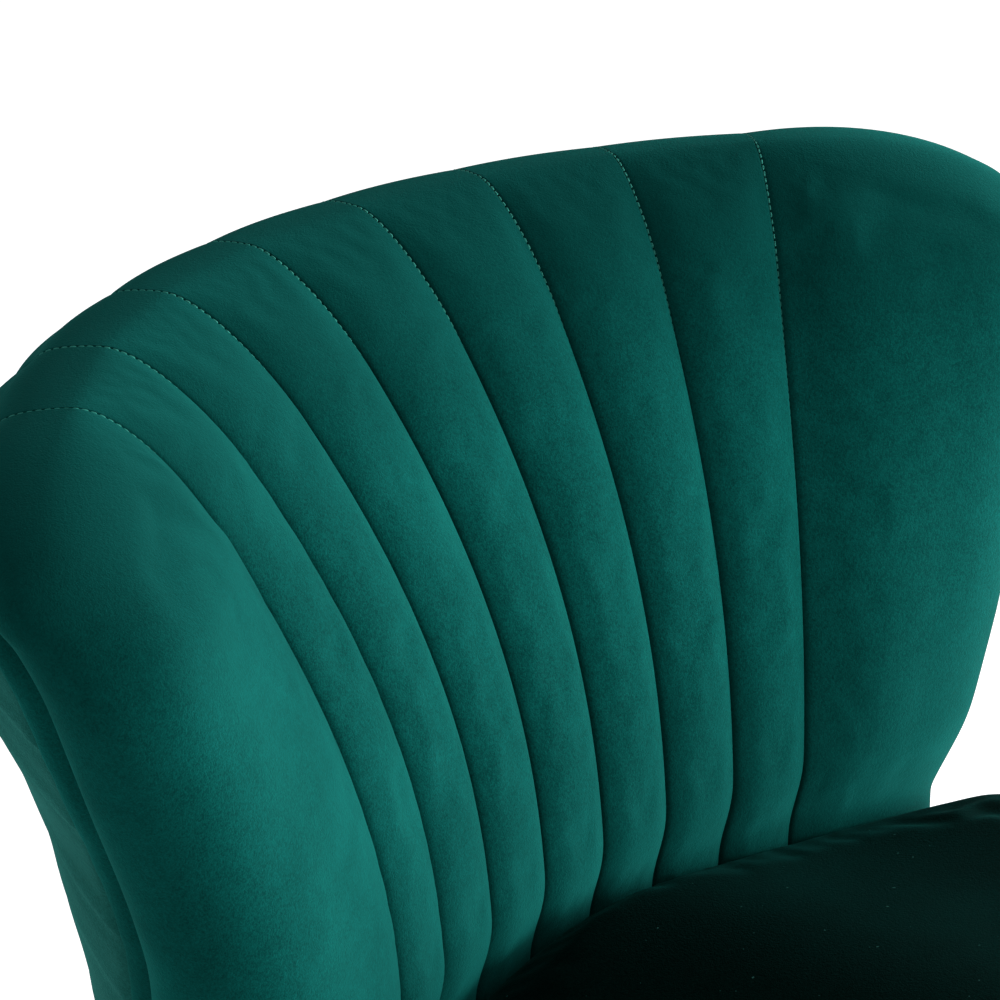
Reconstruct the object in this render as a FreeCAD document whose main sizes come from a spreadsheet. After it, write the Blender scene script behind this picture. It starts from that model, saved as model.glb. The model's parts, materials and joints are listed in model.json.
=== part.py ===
"""Accent chair with a channelled wraparound back, as separate pieces, in millimetres.

The frame is +Z up, the sitter faces -Y, and the origin is the floor point under the
middle of the bounding box. The pieces are worked out in a local frame whose Y zero is
the inner face of the back at the seat, and each is then shifted alike along Y.
"""
import FreeCAD
import Part
import Sketcher
import math
import os
from FreeCAD import Placement, Rotation, Vector

SIZES = {
    "Overall form": {
        "seat_level": 440.0,
        "seat_depth": 470.0,
        "fit_gap": 0.3,
    },
    "Inner face of the back": {
        "face_rise": 317.0,
        "roll_base": 265.0,
        "roll_rise": 47.5,
        "crest_setback": 27.0,
        "lean_total": 135.5,
        "lean_power": 2.36,
        "waist_radius": 496.0,
        "crown_radius": 320.0,
        "tuck_depth": 10.0,
        "tuck_rise": 30.0,
    },
    "Channels": {
        "channel_count": 7.0,
        "waist_channel": 42.5,
        "crown_channel": 67.0,
        "spread_power": 2.37,
        "waist_puff": 5.0,
        "crown_puff": 9.0,
        "seam_notch": 3.0,
        "notch_power": 8.0,
        "pad_drop": 40.0,
        "pad_depth": 21.7,
    },
    "Wings": {
        "waist_wing_radius": 648.0,
        "crown_wing_radius": 367.0,
        "waist_wing_reach": 96.0,
        "crown_wing_reach": 144.0,
        "reach_power": 0.64,
        "wing_puff": 12.0,
        "puff_rise": 90.0,
        "nose_thickness": 65.0,
        "nose_length": 30.0,
        "nose_least": 5.0,
        "nose_crest": 0.33,
        "corner_level": 236.0,
        "corner_power": 2.8,
        "corner_share": 0.02,
        "strip_width": 8.0,
        "strip_crown": 2.0,
    },
    "Shell of the back": {
        "shell_thickness": 100.0,
        "shell_growth": 5.4,
        "outer_bulge": 8.0,
        "cover_thickness": 4.0,
        "board_thickness": 3.0,
        "panel_thickness": 10.0,
        "foam_thickness": 9.7,
        "rail_height": 40.0,
        "rib_width": 24.0,
        "rib_channel": 1.4,
        "rib_clearance": 1.0,
        "frame_share": 0.5,
        "base_rail_height": 124.7,
    },
    "Seat": {
        "seat_overhang": 22.0,
        "seat_front_half_width": 262.0,
        "rear_corner_radius": 30.0,
        "front_corner_radius": 60.0,
        "seat_edge_drop": 6.0,
        "seat_crown": 26.0,
        "crown_inset": 28.0,
        "crown_power": 2.2,
        "seat_base_drop": 170.0,
        "side_band": 3.0,
        "seat_rail_width": 22.0,
        "seat_rail_height": 60.0,
        "deck_thickness": 3.0,
        "dust_cover": 1.0,
        "block_height": 40.0,
        "block_length": 84.0,
    },
    "Springs": {
        "spring_count": 5.0,
        "spring_spacing": 84.0,
        "spring_wire": 3.8,
        "spring_width": 48.0,
        "spring_pitch": 22.0,
        "clip_sheet": 1.2,
        "clip_width": 16.0,
        "clip_length": 14.0,
    },
    "Legs": {
        "front_leg_inset": 72.0,
        "front_leg_y": 392.0,
        "rear_leg_x": 152.0,
        "rear_leg_y": 118.0,
        "front_splay_x": 26.0,
        "front_splay_y": 30.0,
        "rear_splay_x": 26.0,
        "rear_splay_y": 118.0,
        "leg_top_diameter": 32.0,
        "leg_foot_diameter": 20.0,
        "leg_wall": 1.5,
        "plate_side": 74.0,
        "plate_thickness": 3.5,
        "plate_hole_spacing": 56.0,
        "plate_corner": 8.0,
        "glide_height": 12.0,
        "glide_diameter": 28.0,
        "glide_edge": 2.0,
    },
    "Fasteners": {
        "screw_diameter": 5.0,
        "screw_clearance": 0.2,
        "screw_length": 25.0,
        "screw_head": 9.6,
        "screw_head_height": 2.8,
        "bolt_diameter": 8.0,
        "bolt_clearance": 0.3,
        "bolt_head": 14.0,
        "bolt_head_height": 5.0,
        "bolt_rows": 30.0,
        "bolt_channel": 2.0,
        "washer_diameter": 20.0,
        "washer_thickness": 1.6,
        "nut_flange": 22.0,
        "nut_flange_thickness": 1.6,
        "nut_barrel": 10.0,
        "nut_barrel_length": 9.0,
    },
}

doc = FreeCAD.newDocument("AccentChair")


def make_sheet(sizes):
    """Write every driving size into a spreadsheet, one aliased cell each."""
    sheet = doc.addObject("Spreadsheet::Sheet", "Sizes")
    row = 1
    for heading, values in sizes.items():
        sheet.set(f"A{row}", heading)
        row += 1
        for alias, number in values.items():
            sheet.set(f"A{row}", alias)
            sheet.set(f"B{row}", str(number))
            sheet.setAlias(f"B{row}", alias)
            row += 1
    doc.recompute()
    return sheet


sheet = make_sheet(SIZES)


def size(alias):
    """Return one driving size from the spreadsheet."""
    return float(sheet.get(alias))


SEAT = size("seat_level")
GAP = size("fit_gap")
BASE = SEAT - size("seat_base_drop")
ROLL_BASE = SEAT + size("roll_base")
TOP = ROLL_BASE + size("roll_rise")
HALF_COUNT = size("channel_count") / 2
# Smallest share that keeps a rolled edge from closing to a point.
LEAST = 0.002
# Share of the nose that is left where the wing meets its top corner.
NOSE_SHARE = 0.15
# Length by which a cutting shape runs past the piece that it cuts.
CUT_MARGIN = 1.0
# Short length over which a slope or a direction is measured.
STEP = 1.0
nodes = []


def add_shape(name, shape):
    """Add a finished shape as a node of its own."""
    feature = doc.addObject("Part::Feature", name)
    feature.Label = name
    feature.Shape = shape
    nodes.append(feature)
    return feature


def arc(first, middle, last):
    """Return the circular edge through three points."""
    return Part.Arc(first, middle, last).toShape()


def line(first, last):
    """Return the straight edge between two points."""
    return Part.LineSegment(first, last).toShape()


def outward(solid):
    """Return the solid with its faces turned outwards."""
    if solid.Volume < 0:
        solid.reverse()
    return solid


def loft(wires):
    """Return a smooth closed solid through a list of closed wires."""
    return outward(Part.makeLoft(wires, True, False))


def column(outline, low, levels):
    """Return a solid that runs straight up from a low level and then follows an outline."""
    solid = loft([outline(level) for level in levels])
    if low < levels[0]:
        foot = outward(Part.makeLoft([outline(low), outline(levels[0])], True, True))
        solid = foot.fuse(solid).removeSplitter()
    return solid


def mirrored(shape):
    """Return the shape reflected from the right side to the left."""
    return shape.mirror(Vector(0, 0, 0), Vector(1, 0, 0))


def steps(low, high, count):
    """Return evenly spaced values with both ends."""
    return [low + (high - low) * index / (count - 1) for index in range(count)]


def span(level):
    """Return how far up the leaning face a level lies, from 0 at the seat to 1."""
    share = (level - SEAT) / size("face_rise")
    return min(max(share, 0.0), 1.0)


def lean(level):
    """Return how far the face has leant back at a level."""
    return size("lean_total") * span(level) ** size("lean_power")


def face_radius(level):
    """Return the radius of the channelled face at a level."""
    return size("waist_radius") + (size("crown_radius") - size("waist_radius")) * span(level)


def channel_width(level):
    """Return the arc length of one channel at a level."""
    growth = size("crown_channel") - size("waist_channel")
    return size("waist_channel") + growth * span(level) ** size("spread_power")


def puff(level):
    """Return how far the middle of a channel stands out from its seams."""
    return size("waist_puff") + (size("crown_puff") - size("waist_puff")) * span(level)


def wing_puff(level):
    """Return how far the middle of a wing stands out, reduced where it is tucked behind the seat."""
    rise = min(max((level - SEAT) / size("puff_rise"), 0.0), 1.0)
    return size("waist_puff") + (size("wing_puff") - size("waist_puff")) * rise


def shell(level):
    """Return the depth from the inner face to the outside of the back."""
    return size("shell_thickness") + size("shell_growth") * span(level) ** 2


def tuck(level):
    """Return how far the pads draw back behind the seat cushion at a level."""
    share = min(max((level - SEAT) / size("tuck_rise"), 0.0), 1.0)
    return size("tuck_depth") * (1 + math.cos(math.pi * share)) / 2


def slope(rule, level):
    """Return the change of a rule per millimetre of height."""
    return (rule(level) - rule(level - STEP)) / STEP


def roll_sine(level):
    """Return the sine of the roll's angle at a level, 0 at its base and 1 at the crest."""
    return min(max((level - ROLL_BASE) / size("roll_rise"), 0.0), 1.0)


def roll_depths(level, crest_level, thickness, drift=1.0):
    """Return the front and rear depth of the rolled top, where the crest lies at crest_level.

    The drift says how much of the crest's setback is kept: all of it at the channels, none at a wing's nose.
    """
    sine = min(max(level - ROLL_BASE, 0.0) / (crest_level - ROLL_BASE), 1 - LEAST)
    cosine = math.sqrt(1 - sine * sine)
    leaning = lean(level) - lean(ROLL_BASE)
    total_lean = size("lean_total") - lean(ROLL_BASE)
    crest = total_lean + size("crest_setback") * drift
    front_run = size("roll_rise") * slope(lean, ROLL_BASE) * drift + total_lean * (1 - drift)
    rear_slope = slope(lambda height: lean(height) + shell(height), ROLL_BASE)
    rear_run = size("roll_rise") * rear_slope * drift + total_lean * (1 - drift)
    crest += thickness * (1 - drift) * size("nose_crest")
    front = (crest - front_run) * (1 - cosine) + front_run * sine - leaning
    rear = thickness - (thickness + rear_run - crest) * (1 - cosine) + rear_run * sine - leaning
    return front, rear


def channel_point(level, channels, depth, sideways=0.0):
    """Return a point behind the channelled face, counted in channel widths from the middle."""
    radius = face_radius(level)
    angle = (channels * channel_width(level) + sideways) / radius
    reach = radius + depth
    return Vector(reach * math.sin(angle), lean(level) - radius + reach * math.cos(angle), level)


def wing_radius(level):
    """Return the radius of a wing's face at a level."""
    growth = size("crown_wing_radius") - size("waist_wing_radius")
    return size("waist_wing_radius") + growth * span(level)


def wing_point(level, along, depth):
    """Return a point behind the right wing's face, a given arc length past the last seam."""
    radius = wing_radius(level)
    seam = HALF_COUNT * channel_width(level) / face_radius(level)
    offset = face_radius(level) - radius
    angle = seam + along / radius
    centre_y = lean(level) - face_radius(level) + offset * math.cos(seam)
    centre = Vector(offset * math.sin(seam), centre_y, level)
    reach = radius + depth
    return centre + Vector(reach * math.sin(angle), reach * math.cos(angle), 0)


def full_reach(level):
    """Return the arc length from the last seam to the tip of the nose, with no corner rounded off."""
    growth = size("crown_wing_reach") - size("waist_wing_reach")
    return size("waist_wing_reach") + growth * span(level) ** size("reach_power")


def wing_reach(level):
    """Return the arc length from the last seam to the tip of the wing's nose."""
    full = full_reach(level)
    corner = SEAT + size("corner_level")
    if level <= corner:
        return full
    height = min((level - corner) / (TOP - corner), 1.0)
    power = size("corner_power")
    return full * max(1 - height ** power, size("corner_share")) ** (1 / power)


def wing_crest(level, along):
    """Return the height of the wing's top edge at an arc length past the last seam."""
    share = min(along / full_reach(level), 1.0)
    corner = SEAT + size("corner_level")
    power = size("corner_power")
    return corner + (TOP - corner) * max(1 - share ** power, LEAST) ** (1 / power)


def wing_shell(level, share):
    """Return the depth of the outer cover behind a wing, from the seam (0) to the crease (1)."""
    seam = shell(level)
    middle = seam + size("outer_bulge")
    edge = size("nose_thickness")
    inner = seam * (1 - share) * (1 - 2 * share) + 4 * middle * share * (1 - share)
    return inner + edge * share * (2 * share - 1)


def crease(level):
    """Return the arc length from the last seam to the crease behind the wing's nose."""
    return wing_reach(level) - size("nose_length") * nose_scale(level)


def nose_scale(level):
    """Return how much of the nose's length is left as the wing rolls over its top corner."""
    return max(math.sqrt(1 - roll_sine(level) ** 2), NOSE_SHARE)


FACE_SLICES = 9
BODY_LEVELS = steps(SEAT, ROLL_BASE, FACE_SLICES)
# Angles of the slices through the roll, closer together towards the crest.
ROLL_TURNS = (0, 18, 36, 52, 66, 78, 86)
ROLL_LEVELS = [ROLL_BASE + size("roll_rise") * math.sin(math.radians(turn)) for turn in ROLL_TURNS]
PAD_BOTTOM = SEAT - size("pad_drop")


def channel_strip(level, channel):
    """Return the outline of one channel below the roll, with its puffed front."""
    depth = size("pad_depth")
    edge = tuck(level)
    left, right = channel - 0.5, channel + 0.5
    trim = GAP / 2
    front_left = channel_point(level, left, edge, trim)
    front_right = channel_point(level, right, edge, -trim)
    rear_left = channel_point(level, left, depth, trim)
    rear_right = channel_point(level, right, depth, -trim)
    return Part.Wire([
        arc(front_left, channel_point(level, channel, edge - puff(level)), front_right),
        line(front_right, rear_right),
        arc(rear_right, channel_point(level, channel, depth), rear_left),
        line(rear_left, front_left),
    ])


def channel_roll(level, channel):
    """Return the outline of one channel through its full thickness, inside the roll."""
    sine = roll_sine(level)
    cosine = math.sqrt(1 - sine * sine)
    front, rear = roll_depths(level, TOP, shell(ROLL_BASE))
    bulge = puff(level) * cosine
    trim = GAP / 2 + size("seam_notch") * sine ** size("notch_power")
    front_left = channel_point(level, channel - 0.5, front, trim)
    front_right = channel_point(level, channel + 0.5, front, -trim)
    rear_left = channel_point(level, channel - 0.5, rear, trim)
    rear_right = channel_point(level, channel + 0.5, rear, -trim)
    return Part.Wire([
        arc(front_left, channel_point(level, channel, front - bulge), front_right),
        line(front_right, rear_right),
        arc(rear_right, channel_point(level, channel, rear + bulge / 2), rear_left),
        line(rear_left, front_left),
    ])


def make_channel(number):
    """Make one stuffed channel: a strip up the face and its roll over the top."""
    channel = number - (size("channel_count") + 1) / 2
    strip = column(lambda level: channel_strip(level, channel), PAD_BOTTOM, BODY_LEVELS)
    roll = loft([channel_roll(level, channel) for level in ROLL_LEVELS])
    return add_shape(f"channel_pad_{number}", strip.fuse(roll).removeSplitter())


def wing_front(level, front, nose_rear):
    """Return the three front edges of a wing's outline: its face and the two quarters of its nose."""
    start = GAP / 2
    edge = crease(level)
    tip = wing_reach(level)
    face_front, nose_front = front
    bulge = wing_puff(level) * math.sqrt(1 - roll_sine(level) ** 2)
    middle_depth = (face_front + nose_front) / 2 - bulge
    nose_middle = (nose_front + nose_rear) / 2
    half = (nose_rear - nose_front) / 2
    slant = math.sqrt(0.5)
    first = wing_point(level, start, face_front)
    shoulder = wing_point(level, edge, nose_front)
    point = wing_point(level, tip, nose_middle)
    back = wing_point(level, edge, nose_rear)
    quarter = edge + (tip - edge) * slant
    return [
        arc(first, wing_point(level, (start + edge) / 2, middle_depth), shoulder),
        arc(shoulder, wing_point(level, quarter, nose_middle - half * slant), point),
        arc(point, wing_point(level, quarter, nose_middle + half * slant), back),
    ], first, back


def wing_strip(level):
    """Return the right wing pad's outline below the roll: its face, its nose and a hook."""
    inner = size("pad_depth")
    edges, first, back = wing_front(level, (tuck(level), tuck(level)), size("nose_thickness"))
    hook = wing_point(level, crease(level), inner)
    seam = wing_point(level, GAP / 2, inner)
    middle = wing_point(level, (crease(level) + GAP / 2) / 2, inner)
    return Part.Wire(edges + [line(back, hook), arc(hook, middle, seam), line(seam, first)])


def wing_roll(level):
    """Return the outline of the right wing through its full thickness, inside the roll."""
    edge = crease(level)
    seam_front, seam_rear = roll_depths(level, TOP, shell(ROLL_BASE))
    nose_front, nose_rear = roll_depths(level, wing_crest(level, edge), size("nose_thickness"), 0.0)
    middle_rear = roll_depths(level, wing_crest(level, edge / 2), wing_shell(ROLL_BASE, 0.5), 0.5)[1]
    nose_rear = max(nose_rear, nose_front + size("nose_least"))
    edges, first, back = wing_front(level, (seam_front, nose_front), nose_rear)
    last = wing_point(level, GAP / 2, seam_rear)
    return Part.Wire(edges + [arc(back, wing_point(level, edge / 2, middle_rear), last), line(last, first)])


def make_wings():
    """Make the right wing pad and mirror it to the left."""
    strip = column(wing_strip, BASE, BODY_LEVELS)
    roll = loft([wing_roll(level) for level in ROLL_LEVELS])
    right = strip.fuse(roll).removeSplitter()
    add_shape("wing_pad_right", right)
    add_shape("wing_pad_left", mirrored(right))


def layer_outline(level, front, rear, end):
    """Return the outline of a layer that follows the whole back, between two depth rules.

    Each rule takes a share from the last seam (0) to the crease (1), and the layer stops at the end share.
    """
    reach = crease(level)
    sides = []
    for rule in (front, rear):
        seam = channel_point(level, HALF_COUNT, rule(level, 0.0))
        tip = wing_point(level, end * reach, rule(level, end))
        middle = wing_point(level, end * reach / 2, rule(level, end / 2))
        sides.append((seam, middle, tip))
    flip = Vector(-1, 0, 0)

    def left(point):
        return point + flip * (2 * point.x)

    (seam, middle, tip), (seam_rear, middle_rear, tip_rear) = sides
    return Part.Wire([
        arc(left(seam), channel_point(level, 0, front(level, 0.0)), seam),
        arc(seam, middle, tip),
        line(tip, tip_rear),
        arc(tip_rear, middle_rear, seam_rear),
        arc(seam_rear, channel_point(level, 0, rear(level, 0.0)), left(seam_rear)),
        arc(left(seam_rear), left(middle_rear), left(tip_rear)),
        line(left(tip_rear), left(tip)),
        arc(left(tip), left(middle), left(seam)),
    ])


def make_layer(name, low, levels, front, rear, end):
    """Make a layer of the whole back from a low level up through the levels above it."""
    return add_shape(name, column(lambda level: layer_outline(level, front, rear, end(level)), low, levels))


FOAM_FRONT = size("pad_depth") + GAP
FOAM_REAR = FOAM_FRONT + size("foam_thickness")
PANEL_FRONT = FOAM_REAR + GAP
PANEL_REAR = PANEL_FRONT + size("panel_thickness")
FRAME_FRONT = PANEL_REAR + GAP
COVER_FRONT = size("cover_thickness")
BOARD_REAR = COVER_FRONT + GAP
BOARD_FRONT = BOARD_REAR + size("board_thickness")
FRAME_REAR = BOARD_FRONT + GAP
CORE_TOP = ROLL_BASE - GAP
CORE_LEVELS = steps(SEAT, CORE_TOP, FACE_SLICES)


def fixed(depth):
    """Return a depth rule that keeps one depth."""
    return lambda level, share: depth


def behind(inset):
    """Return a depth rule that keeps one distance inside the outer cover's face."""
    return lambda level, share: wing_shell(level, share) - inset


def core_end(level):
    """Return the share of the wing where the core stops, one gap short of the crease."""
    return 1 - GAP / crease(level)


def cover_end(level):
    """Return the share of the wing where the outer cover stops, beside the edge strip."""
    return 1 - (size("strip_width") + 2 * GAP) / crease(level)


def frame_end(level):
    """Return the share of the wing that the frame's rails reach."""
    return size("frame_share")


def make_back_layers():
    """Make the panel, the fibre board and the outer cover, which each run round the whole back."""
    panel = make_layer("back_panel", BASE, CORE_LEVELS, fixed(PANEL_FRONT), fixed(PANEL_REAR), core_end)
    make_layer("back_board", BASE, CORE_LEVELS, behind(BOARD_FRONT), behind(BOARD_REAR), cover_end)
    make_layer("outer_cover", BASE, CORE_LEVELS, behind(COVER_FRONT), behind(0.0), cover_end)
    return panel


def make_frame_rails():
    """Make the curved top and lower rails behind the panel."""
    height = size("rail_height")
    top_levels = steps(CORE_TOP - height, CORE_TOP, 3)
    make_layer("top_rail", top_levels[0], top_levels, fixed(FRAME_FRONT), behind(FRAME_REAR), frame_end)
    low_levels = [BASE, BASE + height]
    return make_layer("lower_rail", BASE, low_levels, fixed(FRAME_FRONT), behind(FRAME_REAR), frame_end)


def rib_outline(level, channels, place):
    """Return the four-sided outline of an upright rib, at a count of channels or at a wing's middle."""
    half = size("rib_width") / 2
    if place == "channel":
        rear = shell(level) - FRAME_REAR
        corners = [channel_point(level, channels, depth, side) for side, depth in
                   ((-half, FRAME_FRONT), (half, FRAME_FRONT), (half, rear), (-half, rear))]
    else:
        along = frame_end(level) * crease(level) - half - size("rib_clearance")
        share = along / crease(level)
        rear = wing_shell(level, share) - FRAME_REAR - size("rib_clearance")
        corners = [wing_point(level, along + side, depth) for side, depth in
                   ((-half, FRAME_FRONT), (half, FRAME_FRONT), (half, rear), (-half, rear))]
    return Part.makePolygon(corners + corners[:1])


def make_ribs():
    """Make the four upright ribs between the lower rail and the top rail."""
    low = BASE + size("rail_height")
    high = CORE_TOP - size("rail_height")
    levels = steps(SEAT, high, FACE_SLICES)
    inner = column(lambda level: rib_outline(level, size("rib_channel"), "channel"), low, levels)
    outer = column(lambda level: rib_outline(level, 0, "wing"), low, levels)
    add_shape("inner_rib_right", inner)
    add_shape("inner_rib_left", mirrored(inner))
    add_shape("wing_rib_right", outer)
    add_shape("wing_rib_left", mirrored(outer))


def make_foam_layers():
    """Make the foam behind the channels and behind each wing."""
    def channels(level):
        left, right = -HALF_COUNT, HALF_COUNT
        corners = [channel_point(level, side, depth) for side, depth in
                   ((left, FOAM_FRONT), (right, FOAM_FRONT), (right, FOAM_REAR), (left, FOAM_REAR))]
        return Part.Wire([
            arc(corners[0], channel_point(level, 0, FOAM_FRONT), corners[1]),
            line(corners[1], corners[2]),
            arc(corners[2], channel_point(level, 0, FOAM_REAR), corners[3]),
            line(corners[3], corners[0]),
        ])

    def wing(level):
        first, last = GAP, crease(level) - GAP
        middle = (first + last) / 2
        corners = [wing_point(level, along, depth) for along, depth in
                   ((first, FOAM_FRONT), (last, FOAM_FRONT), (last, FOAM_REAR), (first, FOAM_REAR))]
        return Part.Wire([
            arc(corners[0], wing_point(level, middle, FOAM_FRONT), corners[1]),
            line(corners[1], corners[2]),
            arc(corners[2], wing_point(level, middle, FOAM_REAR), corners[3]),
            line(corners[3], corners[0]),
        ])

    add_shape("back_foam", column(channels, PAD_BOTTOM, CORE_LEVELS))
    right = column(wing, BASE, CORE_LEVELS)
    add_shape("wing_foam_right", right)
    add_shape("wing_foam_left", mirrored(right))


def make_edge_strips():
    """Make the narrow welt that covers the seam between the wing's nose and the outer cover."""
    def outline(level):
        near = crease(level) - GAP
        far = near - size("strip_width")
        shares = [near / crease(level), far / crease(level)]
        rear = [wing_shell(level, share) for share in shares]
        depth = size("cover_thickness")
        corners = [wing_point(level, near, rear[0]), wing_point(level, far, rear[1]),
                   wing_point(level, far, rear[1] - depth), wing_point(level, near, rear[0] - depth)]
        crown = wing_point(level, (near + far) / 2, (rear[0] + rear[1]) / 2 + size("strip_crown"))
        return Part.Wire([
            arc(corners[0], crown, corners[1]),
            line(corners[1], corners[2]),
            line(corners[2], corners[3]),
            line(corners[3], corners[0]),
        ])

    right = column(outline, BASE, CORE_LEVELS)
    add_shape("edge_strip_right", right)
    add_shape("edge_strip_left", mirrored(right))


SEAT_BACK = size("tuck_depth") - size("waist_puff") - GAP


def rounded_corner(before, corner, after, radius):
    """Return where a rounded corner starts, its middle and its end, between two straight sides."""
    arriving = (corner - before).normalize()
    leaving = (after - corner).normalize()
    turn = arriving.getAngle(leaving)
    run = radius * math.tan(turn / 2)
    start = corner - arriving * run
    end = corner + leaving * run
    inward = (leaving - arriving).normalize()
    centre = corner + inward * (radius / math.cos(turn / 2))
    return start, centre - inward * radius, end


def crossing(first, direction, second, other):
    """Return where two level lines cross, each given by a point and a direction."""
    scale = direction.x * other.y - direction.y * other.x
    gap = second - first
    return first + direction * ((gap.x * other.y - gap.y * other.x) / scale)


def seat_wire(level, inset):
    """Return the seat's plan outline at a level, drawn in by an inset.

    The rear follows the channels and the wings, and straight sides with rounded corners join the rest.
    """
    depth = SEAT_BACK - inset
    reach = size("waist_wing_reach")
    turn = HALF_COUNT * size("waist_channel") / size("waist_radius") + reach / size("waist_wing_radius")
    lift = Vector(0, 0, level - SEAT)
    middle = channel_point(SEAT, 0, depth) + lift
    seam = wing_point(SEAT, 0, depth) + lift
    wing_middle = wing_point(SEAT, reach / 2, depth) + lift
    wing_end = wing_point(SEAT, reach, depth) + lift
    past_wing = Vector(math.cos(turn), -math.sin(turn), 0)
    front_y = -size("seat_depth") + inset
    corner = wing_point(SEAT, reach, SEAT_BACK) + past_wing * (size("seat_overhang") / past_wing.x) + lift
    taper = Vector(size("seat_front_half_width"), -size("seat_depth"), level) - corner
    taper.normalize()
    side_start = corner + Vector(taper.y, -taper.x, 0) * inset
    rear_corner = crossing(wing_end, past_wing, side_start, taper)
    front_corner = crossing(side_start, taper, Vector(0, front_y, level), Vector(1, 0, 0))
    front_middle = Vector(0, front_y, level)
    first = rounded_corner(wing_end, rear_corner, front_corner, size("rear_corner_radius") - inset)
    second = rounded_corner(rear_corner, front_corner, front_middle, size("front_corner_radius") - inset)

    def left(point):
        return Vector(-point.x, point.y, point.z)

    return Part.Wire([
        arc(left(seam), middle, seam),
        arc(seam, wing_middle, wing_end),
        line(wing_end, first[0]),
        arc(*first),
        line(first[2], second[0]),
        arc(*second),
        line(second[2], left(second[2])),
        arc(left(second[2]), left(second[1]), left(second[0])),
        line(left(second[0]), left(first[2])),
        arc(left(first[2]), left(first[1]), left(first[0])),
        line(left(first[0]), left(wing_end)),
        arc(left(wing_end), left(wing_middle), left(seam)),
    ])


def seat_prism(low, high, inset):
    """Return the seat's outline as an upright block between two levels."""
    return outward(Part.Face(seat_wire(low, inset)).extrude(Vector(0, 0, high - low)))


SEAT_EDGE = SEAT - size("seat_edge_drop")
CROWN_SLICES = 6
RAIL_INSET = size("side_band") + GAP
RAIL_TOP = BASE + size("seat_rail_height")
SPRING_LEVEL = RAIL_TOP + size("clip_sheet") + size("screw_clearance") + size("spring_wire") / 2
CLIP_HEIGHT = 2 * (SPRING_LEVEL - RAIL_TOP)
DECK_LEVEL = RAIL_TOP + CLIP_HEIGHT + GAP
FOAM_LEVEL = DECK_LEVEL + size("deck_thickness") + GAP


def make_seat_soft():
    """Make the crowned seat top, the side band, the foam block and the felt deck."""
    slices = []
    for rise in steps(0.0, 1.0, CROWN_SLICES):
        inset = size("crown_inset") * rise ** size("crown_power")
        slices.append(seat_wire(SEAT_EDGE + size("seat_crown") * rise, inset))
    add_shape("seat_top", loft(slices))
    outer = seat_prism(BASE, SEAT_EDGE - GAP, 0.0)
    inner = seat_prism(BASE, SEAT_EDGE - GAP, size("side_band"))
    add_shape("seat_band", outer.cut(inner))
    add_shape("seat_foam", seat_prism(FOAM_LEVEL, SEAT_EDGE - GAP, RAIL_INSET))
    add_shape("seat_deck", seat_prism(DECK_LEVEL, DECK_LEVEL + size("deck_thickness"), RAIL_INSET))


def leg_places():
    """Return each leg's name, the middle of its plate and the middle of its foot."""
    places = []
    front_x = size("seat_front_half_width") - size("front_leg_inset")
    for end, sign, leg_x in (("front", -1, front_x), ("rear", 1, size("rear_leg_x"))):
        for hand, side in (("left", -1), ("right", 1)):
            top = Vector(side * leg_x, -size(f"{end}_leg_y"), BASE)
            foot = top + Vector(side * size(f"{end}_splay_x"), sign * size(f"{end}_splay_y"), -BASE)
            places.append((f"{end}_{hand}", top, foot))
    return places


def screw_places():
    """Return the middles of all leg screws."""
    half = size("plate_hole_spacing") / 2
    corners = [Vector(x, y, 0) for x in (-half, half) for y in (-half, half)]
    return [top + corner for name, top, foot in leg_places() for corner in corners]


PLATE_TOP = BASE - size("dust_cover")
PLATE_BOTTOM = PLATE_TOP - size("plate_thickness")
HOLE = size("screw_diameter") + 2 * size("screw_clearance")


def drilled(shape, low, high):
    """Return the shape with the leg screws' upright holes, cut between two levels."""
    for place in screw_places():
        start = Vector(place.x, place.y, low - CUT_MARGIN)
        shape = shape.cut(Part.makeCylinder(HOLE / 2, high - low + 2 * CUT_MARGIN, start))
    return shape


def bolt_frames():
    """Return each back bolt's placement: Z points back, and zero is the face of the back."""
    frames = []
    middle = BASE + size("seat_rail_height") / 2
    for channels in (-size("bolt_channel"), 0.0, size("bolt_channel")):
        for rise in (-size("bolt_rows") / 2, size("bolt_rows") / 2):
            level = middle + rise
            origin = channel_point(level, channels, 0.0)
            outward = (channel_point(level, channels, STEP) - origin).normalize()
            frames.append(Placement(origin, Rotation(Vector(0, 0, 1), outward)))
    return frames


def bolt_cylinders(diameter, start, end):
    """Return a cylinder between two depths at each bolt."""
    cylinders = []
    for frame in bolt_frames():
        cylinder = Part.makeCylinder(diameter / 2, end - start, Vector(0, 0, start))
        cylinder.Placement = frame
        cylinders.append(cylinder)
    return cylinders


BOLT_HOLE = size("bolt_diameter") + 2 * size("bolt_clearance")
RAIL_FRONT_DEPTH = SEAT_BACK - RAIL_INSET - size("seat_rail_width")


def bolted(feature):
    """Cut the bolt holes through a finished piece."""
    shape = feature.Shape
    for hole in bolt_cylinders(BOLT_HOLE, RAIL_FRONT_DEPTH - size("bolt_head"), shell(BASE)):
        shape = shape.cut(hole)
    feature.Shape = shape


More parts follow.
